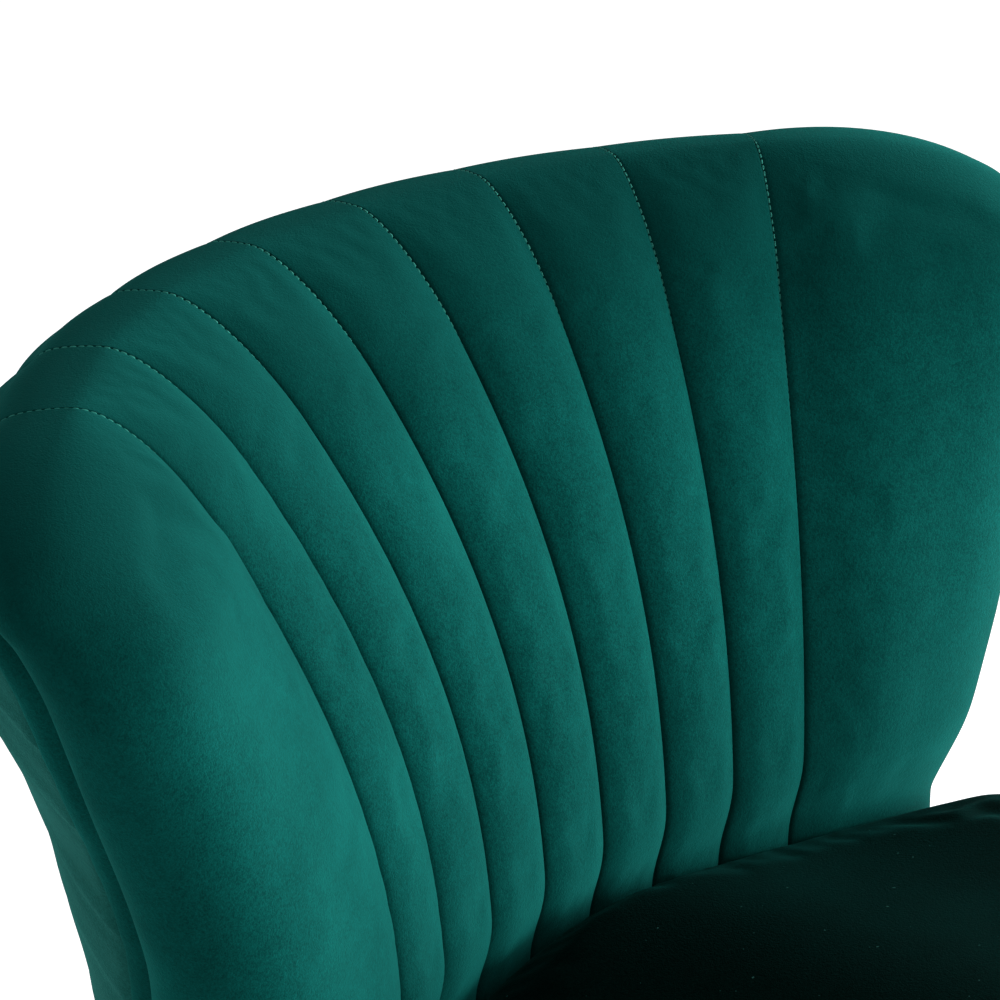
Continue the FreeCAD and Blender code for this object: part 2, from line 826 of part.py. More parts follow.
def make_seat_rails():
    """Make the four rails of the seat frame and the blocks in its corners."""
    outer = seat_prism(BASE, RAIL_TOP, RAIL_INSET)
    inner = seat_prism(BASE, RAIL_TOP, RAIL_INSET + size("seat_rail_width"))
    ring = outer.cut(inner)
    width = 2 * size("seat_front_half_width")
    front_line = -size("seat_depth") + RAIL_INSET + size("seat_rail_width")
    rear_line = wing_point(SEAT, size("waist_wing_reach"), SEAT_BACK).y - size("seat_rail_width")
    height = size("seat_rail_height")
    front_zone = Part.makeBox(2 * width, width, height, Vector(-width, front_line - width, BASE))
    rear_zone = Part.makeBox(2 * width, width, height, Vector(-width, rear_line, BASE))
    side_run = rear_line - front_line - 2 * GAP
    side_zone = Part.makeBox(width, side_run, height, Vector(0, front_line + GAP, BASE))
    add_shape("front_rail", ring.common(front_zone))
    rear = add_shape("rear_rail", ring.common(rear_zone))
    right = ring.common(side_zone)
    add_shape("side_rail_right", right)
    add_shape("side_rail_left", mirrored(right))
    length = size("block_length")
    core = seat_prism(BASE, BASE + size("block_height"), RAIL_INSET + size("seat_rail_width") + GAP)
    blocks = []
    for name, top, foot in leg_places():
        corner = Vector(top.x - length / 2, top.y - length / 2, BASE)
        block = core.common(Part.makeBox(length, length, size("block_height"), corner))
        blocks.append(drilled(block, BASE, BASE + size("block_height")))
    add_shape("corner_blocks", Part.makeCompound(blocks))
    sheet_low = BASE - size("dust_cover")
    dust = seat_prism(sheet_low, BASE, size("side_band"))
    add_shape("dust_cover", drilled(dust, sheet_low, BASE))
    return rear


def spring_edges(x, first_y, runs):
    """Return the centre line of one sinuous spring, with half-round turns, from front to back."""
    pitch = size("spring_pitch")
    half = (size("spring_width") - pitch) / 2
    edges = []
    for run in range(runs):
        y = first_y + run * pitch
        side = 1 if run % 2 == 0 else -1
        start = Vector(x - side * half, y, SPRING_LEVEL)
        end = Vector(x + side * half, y, SPRING_LEVEL)
        edges.append(line(start, end))
        if run < runs - 1:
            turn = Vector(x + side * (half + pitch / 2), y + pitch / 2, SPRING_LEVEL)
            edges.append(arc(end, turn, end + Vector(0, pitch, 0)))
    return edges


def make_springs():
    """Make the sinuous springs and the clips that hold their end runs on the rails."""
    pitch = size("spring_pitch")
    wire_radius = size("spring_wire") / 2
    rail_middle = RAIL_INSET + size("seat_rail_width") / 2
    first_y = -size("seat_depth") + rail_middle
    springs = []
    clips = []
    count = int(size("spring_count"))
    for index in range(count):
        x = (index - (count - 1) / 2) * size("spring_spacing")
        radius = size("waist_radius") + SEAT_BACK - rail_middle
        rear_y = -size("waist_radius") + math.sqrt(radius ** 2 - x ** 2)
        runs = int((rear_y - first_y) / pitch) + 1
        start_y = rear_y - (runs - 1) * pitch
        path = Part.Wire(spring_edges(x, start_y, runs))
        start = path.Edges[0].valueAt(path.Edges[0].FirstParameter)
        circle = Part.Wire([Part.makeCircle(wire_radius, start, Vector(1, 0, 0))])
        springs.append(path.makePipeShell([circle], True, False))
        for y in (start_y, rear_y):
            clips.append(spring_clip(x, y))
    add_shape("seat_springs", Part.makeCompound(springs))
    add_shape("spring_clips", Part.makeCompound(clips))


def spring_clip(x, y):
    """Return one folded clip round a run of spring wire, open towards the front."""
    width, length, metal = size("clip_width"), size("clip_length"), size("clip_sheet")
    outside = Part.makeBox(width, length, CLIP_HEIGHT, Vector(x - width / 2, y - length / 2, RAIL_TOP))
    slot = Part.makeBox(width, length, CLIP_HEIGHT - 2 * metal, Vector(x - width / 2, y - length / 2 - metal,
                                                                      RAIL_TOP + metal))
    return outside.cut(slot)


def make_base_rail():
    """Make the rail under the channels that joins the back panel to the seat frame."""
    front = SEAT_BACK + GAP
    levels = [BASE, BASE + size("base_rail_height")]

    def outline(level):
        corners = [channel_point(level, side * HALF_COUNT, depth, -side * CUT_MARGIN) for side, depth in
                   ((-1, front), (1, front), (1, FOAM_REAR), (-1, FOAM_REAR))]
        return Part.Wire([
            arc(corners[0], channel_point(level, 0, front), corners[1]),
            line(corners[1], corners[2]),
            arc(corners[2], channel_point(level, 0, FOAM_REAR), corners[3]),
            line(corners[3], corners[0]),
        ])

    return add_shape("base_rail", loft([outline(level) for level in levels]))


def make_bolts():
    """Make the bolts, washers and T-nuts that hold the back to the seat frame."""
    washer_start = PANEL_REAR
    head_start = washer_start + size("washer_thickness")
    head_end = head_start + size("bolt_head_height")
    seat = RAIL_FRONT_DEPTH - GAP
    flange_start = seat - size("nut_flange_thickness")
    barrel_end = seat + size("nut_barrel_length")
    shanks = bolt_cylinders(size("bolt_diameter"), flange_start, head_start)
    heads = bolt_cylinders(size("bolt_head"), head_start, head_end)
    add_shape("back_bolts", Part.makeCompound([shank.fuse(head) for shank, head in zip(shanks, heads)]))
    discs = bolt_cylinders(size("washer_diameter"), washer_start, head_start)
    holes = bolt_cylinders(BOLT_HOLE, washer_start, head_start)
    add_shape("bolt_washers", Part.makeCompound([disc.cut(hole) for disc, hole in zip(discs, holes)]))
    flanges = bolt_cylinders(size("nut_flange"), flange_start, seat)
    barrels = bolt_cylinders(size("nut_barrel"), seat, barrel_end)
    bores = bolt_cylinders(BOLT_HOLE, flange_start, barrel_end)
    nuts = [flange.fuse(barrel).cut(bore) for flange, barrel, bore in zip(flanges, barrels, bores)]
    add_shape("bolt_t_nuts", Part.makeCompound(nuts))
    bore = size("nut_barrel") + 2 * size("bolt_clearance")
    return bolt_cylinders(bore, RAIL_FRONT_DEPTH - CUT_MARGIN, barrel_end)


def bind(feature, **rules):
    """Bind properties of a feature to expressions of the spreadsheet."""
    for name, rule in rules.items():
        feature.setExpression(name, rule)


def make_leg(name, top, foot):
    """Make one tapered tube leg: an outer and an inner cone cut level under the plate and on the glide."""
    glide = size("glide_height")
    start = Vector(foot.x, foot.y, glide)
    end = Vector(top.x, top.y, PLATE_BOTTOM)
    axis = end - start
    extra = size("leg_top_diameter")
    turn = Rotation(Vector(0, 0, 1), axis)
    unit = Vector(axis).normalize()
    base = start - unit * extra
    taper = f"(Sizes.leg_top_diameter - Sizes.leg_foot_diameter) / 2 * {extra / axis.Length:.6f}"
    low_radius = f"Sizes.leg_foot_diameter / 2 - {taper}"
    high_radius = f"Sizes.leg_top_diameter / 2 + {taper}"
    outside = doc.addObject("Part::Cone", f"leg_outside_{name}")
    bind(outside, Radius1=low_radius, Radius2=high_radius)
    inside = doc.addObject("Part::Cone", f"leg_inside_{name}")
    bind(inside, Radius1=f"{low_radius} - Sizes.leg_wall", Radius2=f"{high_radius} - Sizes.leg_wall")
    for cone in (outside, inside):
        cone.Height = axis.Length + 2 * extra
        cone.Placement = Placement(base, turn)
    tube = doc.addObject("Part::Cut", f"leg_stock_{name}")
    tube.Base = outside
    tube.Tool = inside
    zone = doc.addObject("Part::Box", f"leg_zone_{name}")
    zone.Length = zone.Width = 4 * (size("front_splay_y") + size("rear_splay_y"))
    under_seat = "Sizes.seat_level - Sizes.seat_base_drop - Sizes.dust_cover"
    bind(zone, Height=f"{under_seat} - Sizes.plate_thickness - Sizes.glide_height")
    middle = (start + end) / 2
    corner = middle - Vector(zone.Length.Value / 2, zone.Width.Value / 2, 0)
    zone.Placement = Placement(Vector(corner.x, corner.y, glide), Rotation())
    leg = doc.addObject("Part::Common", f"leg_{name}")
    leg.Base = tube
    leg.Tool = zone
    leg.Label = f"leg_{name}"
    nodes.append(leg)


def make_plate(name, top):
    """Make one welded leg plate with rounded corners and four screw holes."""
    body = doc.addObject("PartDesign::Body", f"leg_plate_{name}")
    body.Label = f"leg_plate_{name}"
    plane = next(item for item in body.Origin.OriginFeatures if item.Role == "XY_Plane")
    outline = body.newObject("Sketcher::SketchObject", f"plate_outline_{name}")
    outline.AttachmentSupport = (plane, [""])
    outline.MapMode = "FlatFace"
    half = size("plate_side") / 2
    corners = [Vector(-half, -half, 0), Vector(half, -half, 0), Vector(half, half, 0), Vector(-half, half, 0)]
    for index, corner in enumerate(corners):
        outline.addGeometry(Part.LineSegment(corner, corners[(index + 1) % 4]), False)
    for index in range(4):
        outline.addConstraint(Sketcher.Constraint("Coincident", index, 2, (index + 1) % 4, 1))
    for index in (0, 2):
        outline.addConstraint(Sketcher.Constraint("Horizontal", index))
        outline.addConstraint(Sketcher.Constraint("Vertical", index + 1))
    outline.addConstraint(Sketcher.Constraint("Symmetric", 0, 1, 1, 2, -1, 1))
    wide = outline.addConstraint(Sketcher.Constraint("DistanceX", 0, 1, 0, 2, 2 * half))
    tall = outline.addConstraint(Sketcher.Constraint("DistanceY", 1, 1, 1, 2, 2 * half))
    outline.setExpression(f"Constraints[{wide}]", "Sizes.plate_side")
    outline.setExpression(f"Constraints[{tall}]", "Sizes.plate_side")
    pad = body.newObject("PartDesign::Pad", f"plate_pad_{name}")
    pad.Profile = outline
    bind(pad, Length="Sizes.plate_thickness")
    doc.recompute()
    upright = [f"Edge{index + 1}" for index, edge in enumerate(pad.Shape.Edges)
               if abs(edge.tangentAt(edge.FirstParameter).z) > 0.9]
    rounds = body.newObject("PartDesign::Fillet", f"plate_corners_{name}")
    rounds.Base = (pad, upright)
    bind(rounds, Radius="Sizes.plate_corner")
    holes = body.newObject("Sketcher::SketchObject", f"plate_holes_{name}")
    holes.AttachmentSupport = (plane, [""])
    holes.MapMode = "FlatFace"
    reach = size("plate_hole_spacing") / 2
    hole_places = ((-reach, -reach), (reach, -reach), (reach, reach), (-reach, reach))
    for index, (x, y) in enumerate(hole_places):
        holes.addGeometry(Part.Circle(Vector(x, y, 0), Vector(0, 0, 1), HOLE / 2), False)
        bore = holes.addConstraint(Sketcher.Constraint("Diameter", index, HOLE))
        across = holes.addConstraint(Sketcher.Constraint("DistanceX", -1, 1, index, 3, x))
        along = holes.addConstraint(Sketcher.Constraint("DistanceY", -1, 1, index, 3, y))
        holes.setExpression(f"Constraints[{bore}]", "Sizes.screw_diameter + 2 * Sizes.screw_clearance")
        sign_x = "" if x > 0 else "-"
        sign_y = "" if y > 0 else "-"
        holes.setExpression(f"Constraints[{across}]", f"{sign_x}Sizes.plate_hole_spacing / 2")
        holes.setExpression(f"Constraints[{along}]", f"{sign_y}Sizes.plate_hole_spacing / 2")
    pocket = body.newObject("PartDesign::Pocket", f"plate_bores_{name}")
    pocket.Profile = holes
    pocket.Type = "ThroughAll"
    pocket.Midplane = True
    body.Tip = pocket
    body.Placement = Placement(Vector(top.x, top.y, PLATE_BOTTOM), Rotation())
    nodes.append(body)


def make_glide(name, foot):
    """Make one foot glide with a rounded lower edge."""
    disc = doc.addObject("Part::Cylinder", f"glide_disc_{name}")
    bind(disc, Radius="Sizes.glide_diameter / 2", Height="Sizes.glide_height")
    disc.Placement = Placement(Vector(foot.x, foot.y, 0), Rotation())
    doc.recompute()
    lower = next(index + 1 for index, edge in enumerate(disc.Shape.Edges)
                 if edge.Closed and edge.CenterOfMass.z < 0.01)
    glide = doc.addObject("Part::Fillet", f"foot_glide_{name}")
    glide.Base = disc
    glide.Edges = [(lower, size("glide_edge"), size("glide_edge"))]
    glide.Label = f"foot_glide_{name}"
    nodes.append(glide)


def make_leg_screws():
    """Make the wood screws of the leg plates, heads below the plates."""
    screws = []
    head_height = size("screw_head_height")
    for place in screw_places():
        head = Part.makeCylinder(size("screw_head") / 2, head_height,
                                 Vector(place.x, place.y, PLATE_BOTTOM - head_height))
        shank = Part.makeCylinder(size("screw_diameter") / 2, size("screw_length"),
                                  Vector(place.x, place.y, PLATE_BOTTOM))
        screws.append(head.fuse(shank))
    add_shape("leg_screws", Part.makeCompound(screws))


def make_back():
    """Make the whole back."""
    for number in range(1, int(size("channel_count")) + 1):
        make_channel(number)
    make_wings()
    panel = make_back_layers()
    lower = make_frame_rails()
    make_ribs()
    make_foam_layers()
    make_edge_strips()
    base = make_base_rail()
    return panel, lower, base


def make_seat():
    """Make the seat with its frame and springs."""
    make_seat_soft()
    rear = make_seat_rails()
    make_springs()
    return rear


def make_legs():
    """Make the four legs with their plates, glides and screws."""
    for name, top, foot in leg_places():
        make_plate(name, top)
        make_leg(name, top, foot)
        make_glide(name, foot)
    make_leg_screws()


def place_all(shift):
    """Move every sub-part by one common shift along Y."""
    for node in nodes:
        move = Placement(Vector(0, shift, 0), Rotation())
        node.Placement = move.multiply(node.Placement)


def check_all():
    """Stop unless every object and every sub-part's shape is sound."""
    for item in doc.Objects:
        if "Invalid" in item.State or "Error" in item.State:
            raise RuntimeError(f"{item.Label} is not valid: {item.State}")
    unsound = [node.Label for node in nodes
               if node.Shape.isNull() or not node.Shape.isValid() or node.Shape.Volume <= 0]
    if unsound:
        raise RuntimeError(f"these have no sound shape: {unsound}")


def main():
    """Build the chair, check it and write one file for each sub-part."""
    panel, lower, base = make_back()
    rear = make_seat()
    nut_bores = make_bolts()
    band = next(node for node in nodes if node.Label == "seat_band")
    for feature in (panel, base, rear, band):
        bolted(feature)
    shape = rear.Shape
    for bore in nut_bores:
        shape = shape.cut(bore)
    rear.Shape = shape
    head_zone = PANEL_REAR + size("washer_thickness") + size("bolt_head_height") + GAP
    shape = lower.Shape
    pocket_diameter = size("washer_diameter") + 2 * size("bolt_clearance")
    for pocket in bolt_cylinders(pocket_diameter, FRAME_FRONT - CUT_MARGIN, head_zone):
        shape = shape.cut(pocket)
    lower.Shape = shape
    make_legs()
    doc.recompute()
    by_label = {node.Label: node for node in nodes}
    middle = by_label[f"channel_pad_{int(size('channel_count') + 1) // 2}"]
    rear_y = middle.Shape.optimalBoundingBox(True, False).YMax
    front_y = by_label["seat_band"].Shape.optimalBoundingBox(True, False).YMin
    place_all(-(rear_y + front_y) / 2)
    doc.recompute()
    check_all()
    os.makedirs("parts", exist_ok=True)
    for node in nodes:
        node.Shape.exportStep(f"parts/{node.Label}.step")
        box = node.Shape.optimalBoundingBox(True, False)
        print(f"{node.Label}: {len(node.Shape.Solids)} solids, {node.Shape.Volume / 1000:.1f} cm3,"
              f" x {box.XMin:.1f}..{box.XMax:.1f}, y {box.YMin:.1f}..{box.YMax:.1f},"
              f" z {box.ZMin:.1f}..{box.ZMax:.1f}")


main()
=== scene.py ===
"""Looks of an accent chair with a channelled wraparound back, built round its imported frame, in metres."""
import json
import logging
from dataclasses import dataclass, field
from enum import Enum
from typing import Sequence

import bmesh
import bpy
import numpy as np
from mathutils import Matrix, Vector


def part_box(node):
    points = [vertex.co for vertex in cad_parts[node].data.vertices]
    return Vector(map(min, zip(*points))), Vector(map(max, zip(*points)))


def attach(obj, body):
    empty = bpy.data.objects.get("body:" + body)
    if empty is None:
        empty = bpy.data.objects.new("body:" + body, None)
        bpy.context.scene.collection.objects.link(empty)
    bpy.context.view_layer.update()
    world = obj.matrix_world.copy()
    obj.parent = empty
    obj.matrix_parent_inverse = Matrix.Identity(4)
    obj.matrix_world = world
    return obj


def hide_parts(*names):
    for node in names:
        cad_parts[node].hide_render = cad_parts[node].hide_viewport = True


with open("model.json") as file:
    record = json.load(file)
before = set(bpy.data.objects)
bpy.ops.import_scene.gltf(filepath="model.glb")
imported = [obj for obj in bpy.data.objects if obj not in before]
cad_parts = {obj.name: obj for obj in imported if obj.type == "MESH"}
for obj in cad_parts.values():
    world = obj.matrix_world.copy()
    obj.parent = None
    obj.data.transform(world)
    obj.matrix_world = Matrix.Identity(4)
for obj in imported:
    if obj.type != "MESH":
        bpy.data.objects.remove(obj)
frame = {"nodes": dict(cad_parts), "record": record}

Triple = tuple[float, float, float]
Colour = Triple

LOG = logging.getLogger("chair")
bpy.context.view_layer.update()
MERGE = 2e-5  # points nearer than this are one
GAP = 0.0003  # between two covers that touch
BASE = 0.270  # level of the covers' lower edge
QUARTER = np.pi / 2  # a quarter turn
SLOPE_STEP = 0.001  # the step over which a slope is measured
LEAST_ROUNDING = 0.25  # what a seam's rounding keeps at the crest
LEAST_RISE = 0.0001  # the least rise of a crest over the roll's base
LEAST_RADIUS = 1e-6  # the least radius of a groove's rounding
MIRROR = np.array([-1.0, 1.0, 1.0])  # turns a right piece into a left one
HANDS = ("right", "left")


class Hold(Enum):
    """How a sheet of cloth is held."""

    STRETCHED = "stretched"
    LAID = "laid"


@dataclass(frozen=True)
class BackForm:
    """Rules of the back's form: depths behind an inner face that leans back and turns forward at the wings.

    Levels are heights above the floor. The inner face at the seat lies at Y = shift. A name with waist
    counts at the seat, one with crown at the top of the lean, and arc lengths run out from the last seam.
    """

    shift: float = 0.13172
    seat: float = 0.440
    face_rise: float = 0.317
    roll_base: float = 0.705
    roll_rise: float = 0.0475
    crest_setback: float = 0.020
    lean_total: float = 0.1355
    lean_power: float = 2.36
    waist_radius: float = 0.496
    crown_radius: float = 0.320
    tuck_depth: float = 0.010
    tuck_rise: float = 0.048
    half_count: float = 3.5
    waist_channel: float = 0.0425
    crown_channel: float = 0.067
    spread_power: float = 2.37
    waist_puff: float = 0.005
    crown_puff: float = 0.009
    wing_middle_puff: float = 0.012
    puff_rise: float = 0.090
    waist_wing_radius: float = 0.648
    crown_wing_radius: float = 0.367
    waist_wing_reach: float = 0.096
    crown_wing_reach: float = 0.144
    reach_power: float = 0.64
    nose_thickness: float = 0.065
    nose_length: float = 0.030
    nose_least: float = 0.005
    nose_crest: float = 0.33
    nose_share: float = 0.15
    corner_level: float = 0.676
    corner_power: float = 2.3
    core_power: float = 2.8
    corner_share: float = 0.002
    shell_thickness: float = 0.100
    shell_growth: float = 0.0054
    outer_bulge: float = 0.008
    pad_rear: float = 0.0217
    seam_notch: float = 0.0005
    notch_power: float = 8.0
    slope_depth: float = 0.009
    slope_sines: tuple[float, float] = (0.6, 0.8)
    crease_wave: float = 0.0060
    crease_level: float = 0.635
    crease_width: float = 0.038
    crease_low: float = 0.0045
    drawn_level: float = 0.56
    drawn_rise: float = 0.06

    @property
    def top(self) -> float:
        """Level of the crest."""
        return self.roll_base + self.roll_rise

    def span(self, level: np.ndarray) -> np.ndarray:
        """How far up the leaning face a level lies, from 0 at the seat to 1."""
        return np.clip((np.asarray(level, float) - self.seat) / self.face_rise, 0.0, 1.0)

    def lean(self, level: np.ndarray) -> np.ndarray:
        """How far the face has leant back at a level."""
        return self.lean_total * self.span(level) ** self.lean_power

    def radius(self, level: np.ndarray) -> np.ndarray:
        """Radius of the channelled face."""
        return between(self.waist_radius, self.crown_radius, self.span(level))

    def width(self, level: np.ndarray) -> np.ndarray:
        """Arc length of one channel."""
        return between(self.waist_channel, self.crown_channel, self.span(level) ** self.spread_power)

    def puff(self, level: np.ndarray) -> np.ndarray:
        """How far the middle of a channel stands out from its seams."""
        return between(self.waist_puff, self.crown_puff, self.span(level))

    def wing_puff(self, level: np.ndarray) -> np.ndarray:
        """How far the middle of a wing stands out."""
        rise = np.clip((level - self.seat) / self.puff_rise, 0.0, 1.0)
        return between(self.waist_puff, self.wing_middle_puff, rise)

    def shell(self, level: np.ndarray) -> np.ndarray:
        """Depth from the inner face to the outside of the back."""
        return self.shell_thickness + self.shell_growth * self.span(level) ** 2

    def tuck(self, level: np.ndarray) -> np.ndarray:
        """How far the pads draw back behind the seat cushion."""
        share = np.clip((level - self.seat) / self.tuck_rise, 0.0, 1.0)
        return self.tuck_depth * (1 + np.cos(np.pi * share)) / 2

    def over_roll(
        self, drift: float | np.ndarray, thickness: float | np.ndarray
    ) -> tuple[float | np.ndarray, float | np.ndarray, float | np.ndarray]:
        """How the face and the cover run on from the base of the roll to its crest.

        Args:
            drift: how much of the crest's setback is kept.
            thickness: depth of the roll at its base.

        Returns:
            The crest's setback, and how far the front and the rear lean on their way up.
        """
        base = self.roll_base
        total = self.lean_total - self.lean(base)
        front_slope = (self.lean(base) - self.lean(base - SLOPE_STEP)) / SLOPE_STEP
        rear_slope = front_slope + (self.shell(base) - self.shell(base - SLOPE_STEP)) / SLOPE_STEP
        crest = total + self.crest_setback * drift + thickness * (1 - drift) * self.nose_crest
        front_run = self.roll_rise * front_slope * drift + total * (1 - drift)
        rear_run = self.roll_rise * rear_slope * drift + total * (1 - drift)
        return crest, front_run, rear_run

    def roll_depths(
        self,
        level: np.ndarray,
        crest_level: np.ndarray,
        thickness: float,
        drift: float = 1.0,
        most: float = 1.0,
    ) -> tuple[np.ndarray, np.ndarray]:
        """Front and rear depth of the rolled top.

        Args:
            level: heights in the roll.
            crest_level: height of the crest there.
            thickness: depth of the roll at its base.
            drift: how much of the crest's setback is kept.
            most: the greatest sine of the roll's angle, under 1 where the roll never closes.

        Returns:
            The front depth and the rear depth.
        """
        base = self.roll_base
        sine = np.clip((level - base) / (crest_level - base), 0.0, most)
        cosine = np.sqrt(1 - sine * sine)
        leaning = self.lean(level) - self.lean(base)
        crest, front_run, rear_run = self.over_roll(drift, thickness)
        front = (crest - front_run) * (1 - cosine) + front_run * sine - leaning
        rear = thickness - (thickness + rear_run - crest) * (1 - cosine) + rear_run * sine - leaning
        return front, rear - self.sloped(sine) * drift

    def sloped(self, sine: np.ndarray) -> np.ndarray:
        """How far the rear of the roll slopes in from a round form."""
        low, high = self.slope_sines
        return self.slope_depth * eased(sine / low) * (1 - eased((sine - high) / (1 - high)))

    def channel_point(self, level: np.ndarray, depth: np.ndarray, sideways: np.ndarray) -> np.ndarray:
        """Points behind the channelled face, an arc length to the side of its middle.

        Args:
            level: height above the floor.
            depth: distance behind the face.
            sideways: arc length from the middle.

        Returns:
            Rows of x, y and z.
        """
        level, depth, sideways = np.broadcast_arrays(level, depth, sideways)
        radius = self.radius(level)
        angle = sideways / radius
        reach = radius + depth
        across = reach * np.sin(angle)
        back = self.lean(level) - radius + reach * np.cos(angle) + self.shift
        return np.stack([across, back, level], axis=-1)

    def wing_point(self, level: np.ndarray, along: np.ndarray, depth: np.ndarray) -> np.ndarray:
        """Points behind the right wing's face, an arc length past the last seam.

        Args:
            level: height above the floor.
            along: arc length past the last seam.
            depth: distance behind the face.

        Returns:
            Rows of x, y and z.
        """
        level, along, depth = np.broadcast_arrays(level, along, depth)
        radius = between(self.waist_wing_radius, self.crown_wing_radius, self.span(level))
        seam = self.half_count * self.width(level) / self.radius(level)
        offset = self.radius(level) - radius
        angle = seam + along / radius
        reach = radius + depth
        across = offset * np.sin(seam) + reach * np.sin(angle)
        middle = self.lean(level) - self.radius(level) + offset * np.cos(seam)
        return np.stack([across, middle + reach * np.cos(angle) + self.shift, level], axis=-1)

    def full_reach(self, level: np.ndarray) -> np.ndarray:
        """Arc length from the last seam to the tip of the nose, with no corner rounded off."""
        return between(self.waist_wing_reach, self.crown_wing_reach, self.span(level) ** self.reach_power)

    def left_by_corner(self, share: np.ndarray, power: float) -> np.ndarray:
        """Part of a height or reach that a rounded corner leaves, at a share of its other side."""
        return np.maximum(1 - share**power, self.corner_share) ** (1 / power)

    def rounded_reach(self, level: np.ndarray, power: float) -> np.ndarray:
        """Reach of the wing where its top corner is rounded off with a power.

        Args:
            level: height above the floor.
            power: the rounding: 2 for an ellipse, more for a squarer corner.

        Returns:
            The arc length.
        """
        share = np.clip((level - self.corner_level) / (self.top - self.corner_level), 0.0, 1.0)
        return self.full_reach(level) * self.left_by_corner(share, power)

    def wing_reach(self, level: np.ndarray) -> np.ndarray:
        """Arc length from the last seam to the tip of the wing's nose."""
        return self.rounded_reach(level, self.corner_power)

    def wing_crest(self, level: np.ndarray, along: np.ndarray) -> np.ndarray:
        """Height of the wing's top edge at an arc length past the last seam.

        Args:
            level: height whose reach counts.
            along: arc length past the last seam.

        Returns:
            The height.
        """
        share = np.clip(along / self.full_reach(level), 0.0, 1.0)
        return between(self.corner_level, self.top, self.left_by_corner(share, self.corner_power))

    def wing_roll(
        self, level: np.ndarray, along: np.ndarray, front: np.ndarray, rear: np.ndarray
    ) -> tuple[np.ndarray, np.ndarray]:
        """Front and rear depth of the wing's rolled top, which close together along its crest.

        Args:
            level: heights in the roll.
            along: arc lengths past the last seam.
            front: front depth there at the base of the roll.
            rear: rear depth there at the base of the roll.

        Returns:
            The front depth and the rear depth.
        """
        base = self.roll_base
        crest_rise = np.maximum(self.wing_crest(level, along) - base, LEAST_RISE)
        sine = np.clip((level - base) / crest_rise, 0.0, 1.0)
        cosine = np.sqrt(1 - sine * sine)
        drift = 1 - np.clip(along / self.full_reach(base), 0.0, 1.0)
        crest, front_run, rear_run = self.over_roll(drift, rear - front)
        middle = crest * (1 - cosine) - (self.lean(level) - self.lean(base))
        turned = sine - (1 - cosine)
        closed_rear = rear * cosine + rear_run * turned + middle - self.sloped(sine) * drift
        return front * cosine + front_run * turned + middle, closed_rear

    def crease(self, level: np.ndarray) -> np.ndarray:
        """Arc length from the last seam to the crease behind the wing's nose.

        Args:
            level: height above the floor.

        Returns:
            The arc length.
        """
        sine = np.clip((level - self.roll_base) / self.roll_rise, 0.0, 1.0)
        scale = np.maximum(np.sqrt(1 - sine * sine), self.nose_share)
        wave = self.crease_wave * hump(level - self.crease_level, self.crease_width)
        return self.wing_reach(level) - self.nose_length * scale + wave - self.drawn_in(level)

    def drawn_in(self, level: np.ndarray) -> np.ndarray:
        """How much shorter the wing is at its crease low down, where the pull takes it in."""
        return self.crease_low * eased((self.drawn_level - level) / self.drawn_rise)

    def core_crease(self, level: np.ndarray) -> np.ndarray:
        """Arc length from the last seam to where the wing's frame and board were built to end."""
        built = self.rounded_reach(level, self.core_power)
        return self.crease(level) + self.drawn_in(level) + built - self.wing_reach(level)

    def shell_at(self, level: np.ndarray, along: np.ndarray) -> np.ndarray:
        """Depth of the outer cover behind a wing at an arc length past the last seam."""
        return self.wing_shell(level, along / self.core_crease(level))

    def wing_shell(self, level: np.ndarray, share: np.ndarray) -> np.ndarray:
        """Depth of the outer cover behind a wing, from the seam (0) to the crease (1)."""
        seam = self.shell(level)
        return bowed(seam, seam + self.outer_bulge, self.nose_thickness, share)


def between(low: float, high: float, share: np.ndarray) -> np.ndarray:
    """A value between two others."""
    return low + (high - low) * share


def bowed(first: np.ndarray, middle: np.ndarray, last: np.ndarray, share: np.ndarray) -> np.ndarray:
    """A smooth bow through three values at the shares 0, a half and 1.

    Args:
        first: value at 0.
        middle: value at a half.
        last: value at 1.
        share: where the value is wanted.

    Returns:
        The value there.
    """
    return (
        first * (1 - share) * (1 - 2 * share)
        + 4 * middle * share * (1 - share)
        + last * share * (2 * share - 1)
    )


def lipped(distance: np.ndarray, radius: float | np.ndarray) -> np.ndarray:
    """How far a rounded edge falls away at a distance from its end."""
    reach = np.clip(radius - distance, 0.0, radius)
    return radius - np.sqrt(radius * radius - reach * reach)


def eased(share: np.ndarray) -> np.ndarray:
    """A soft step from 0 to 1."""
    share = np.clip(share, 0.0, 1.0)
    return share * share * (3 - 2 * share)


def eased_from(value: np.ndarray, start: float, run: float) -> np.ndarray:
    """A soft step that leaves 0 at a start and reaches 1 after a run."""
    return eased((value - start) / run)


def eased_over(value: np.ndarray, ends: tuple[float, float]) -> np.ndarray:
    """A soft step from 0 at the first of two values to 1 at the last."""
    return eased_from(value, ends[0], ends[1] - ends[0])


def hump(distance: np.ndarray, width: float | np.ndarray) -> np.ndarray:
    """A bell that is 1 at no distance and fades over a width."""
    return np.exp(-((distance / width) ** 2))


def spaced(length: np.ndarray, near: Sequence[float], count: int) -> np.ndarray:
    """Distances along a length that crowd at both ends.

    Args:
        length: total lengths, one a row.
        near: distances from an end that get a column of their own.
        count: number of even columns between them.

    Returns:
        One row of distances for each length.
    """
    near = np.asarray(near, float)
    length = np.asarray(length, float)[:, None]
    inner = near[-1]
    share = (np.arange(count) + 1) / (count + 1)
    middle = inner + (length - 2 * inner) * share[None, :]
    return np.hstack([near[None, :] + 0 * length, middle, length - near[None, ::-1]])


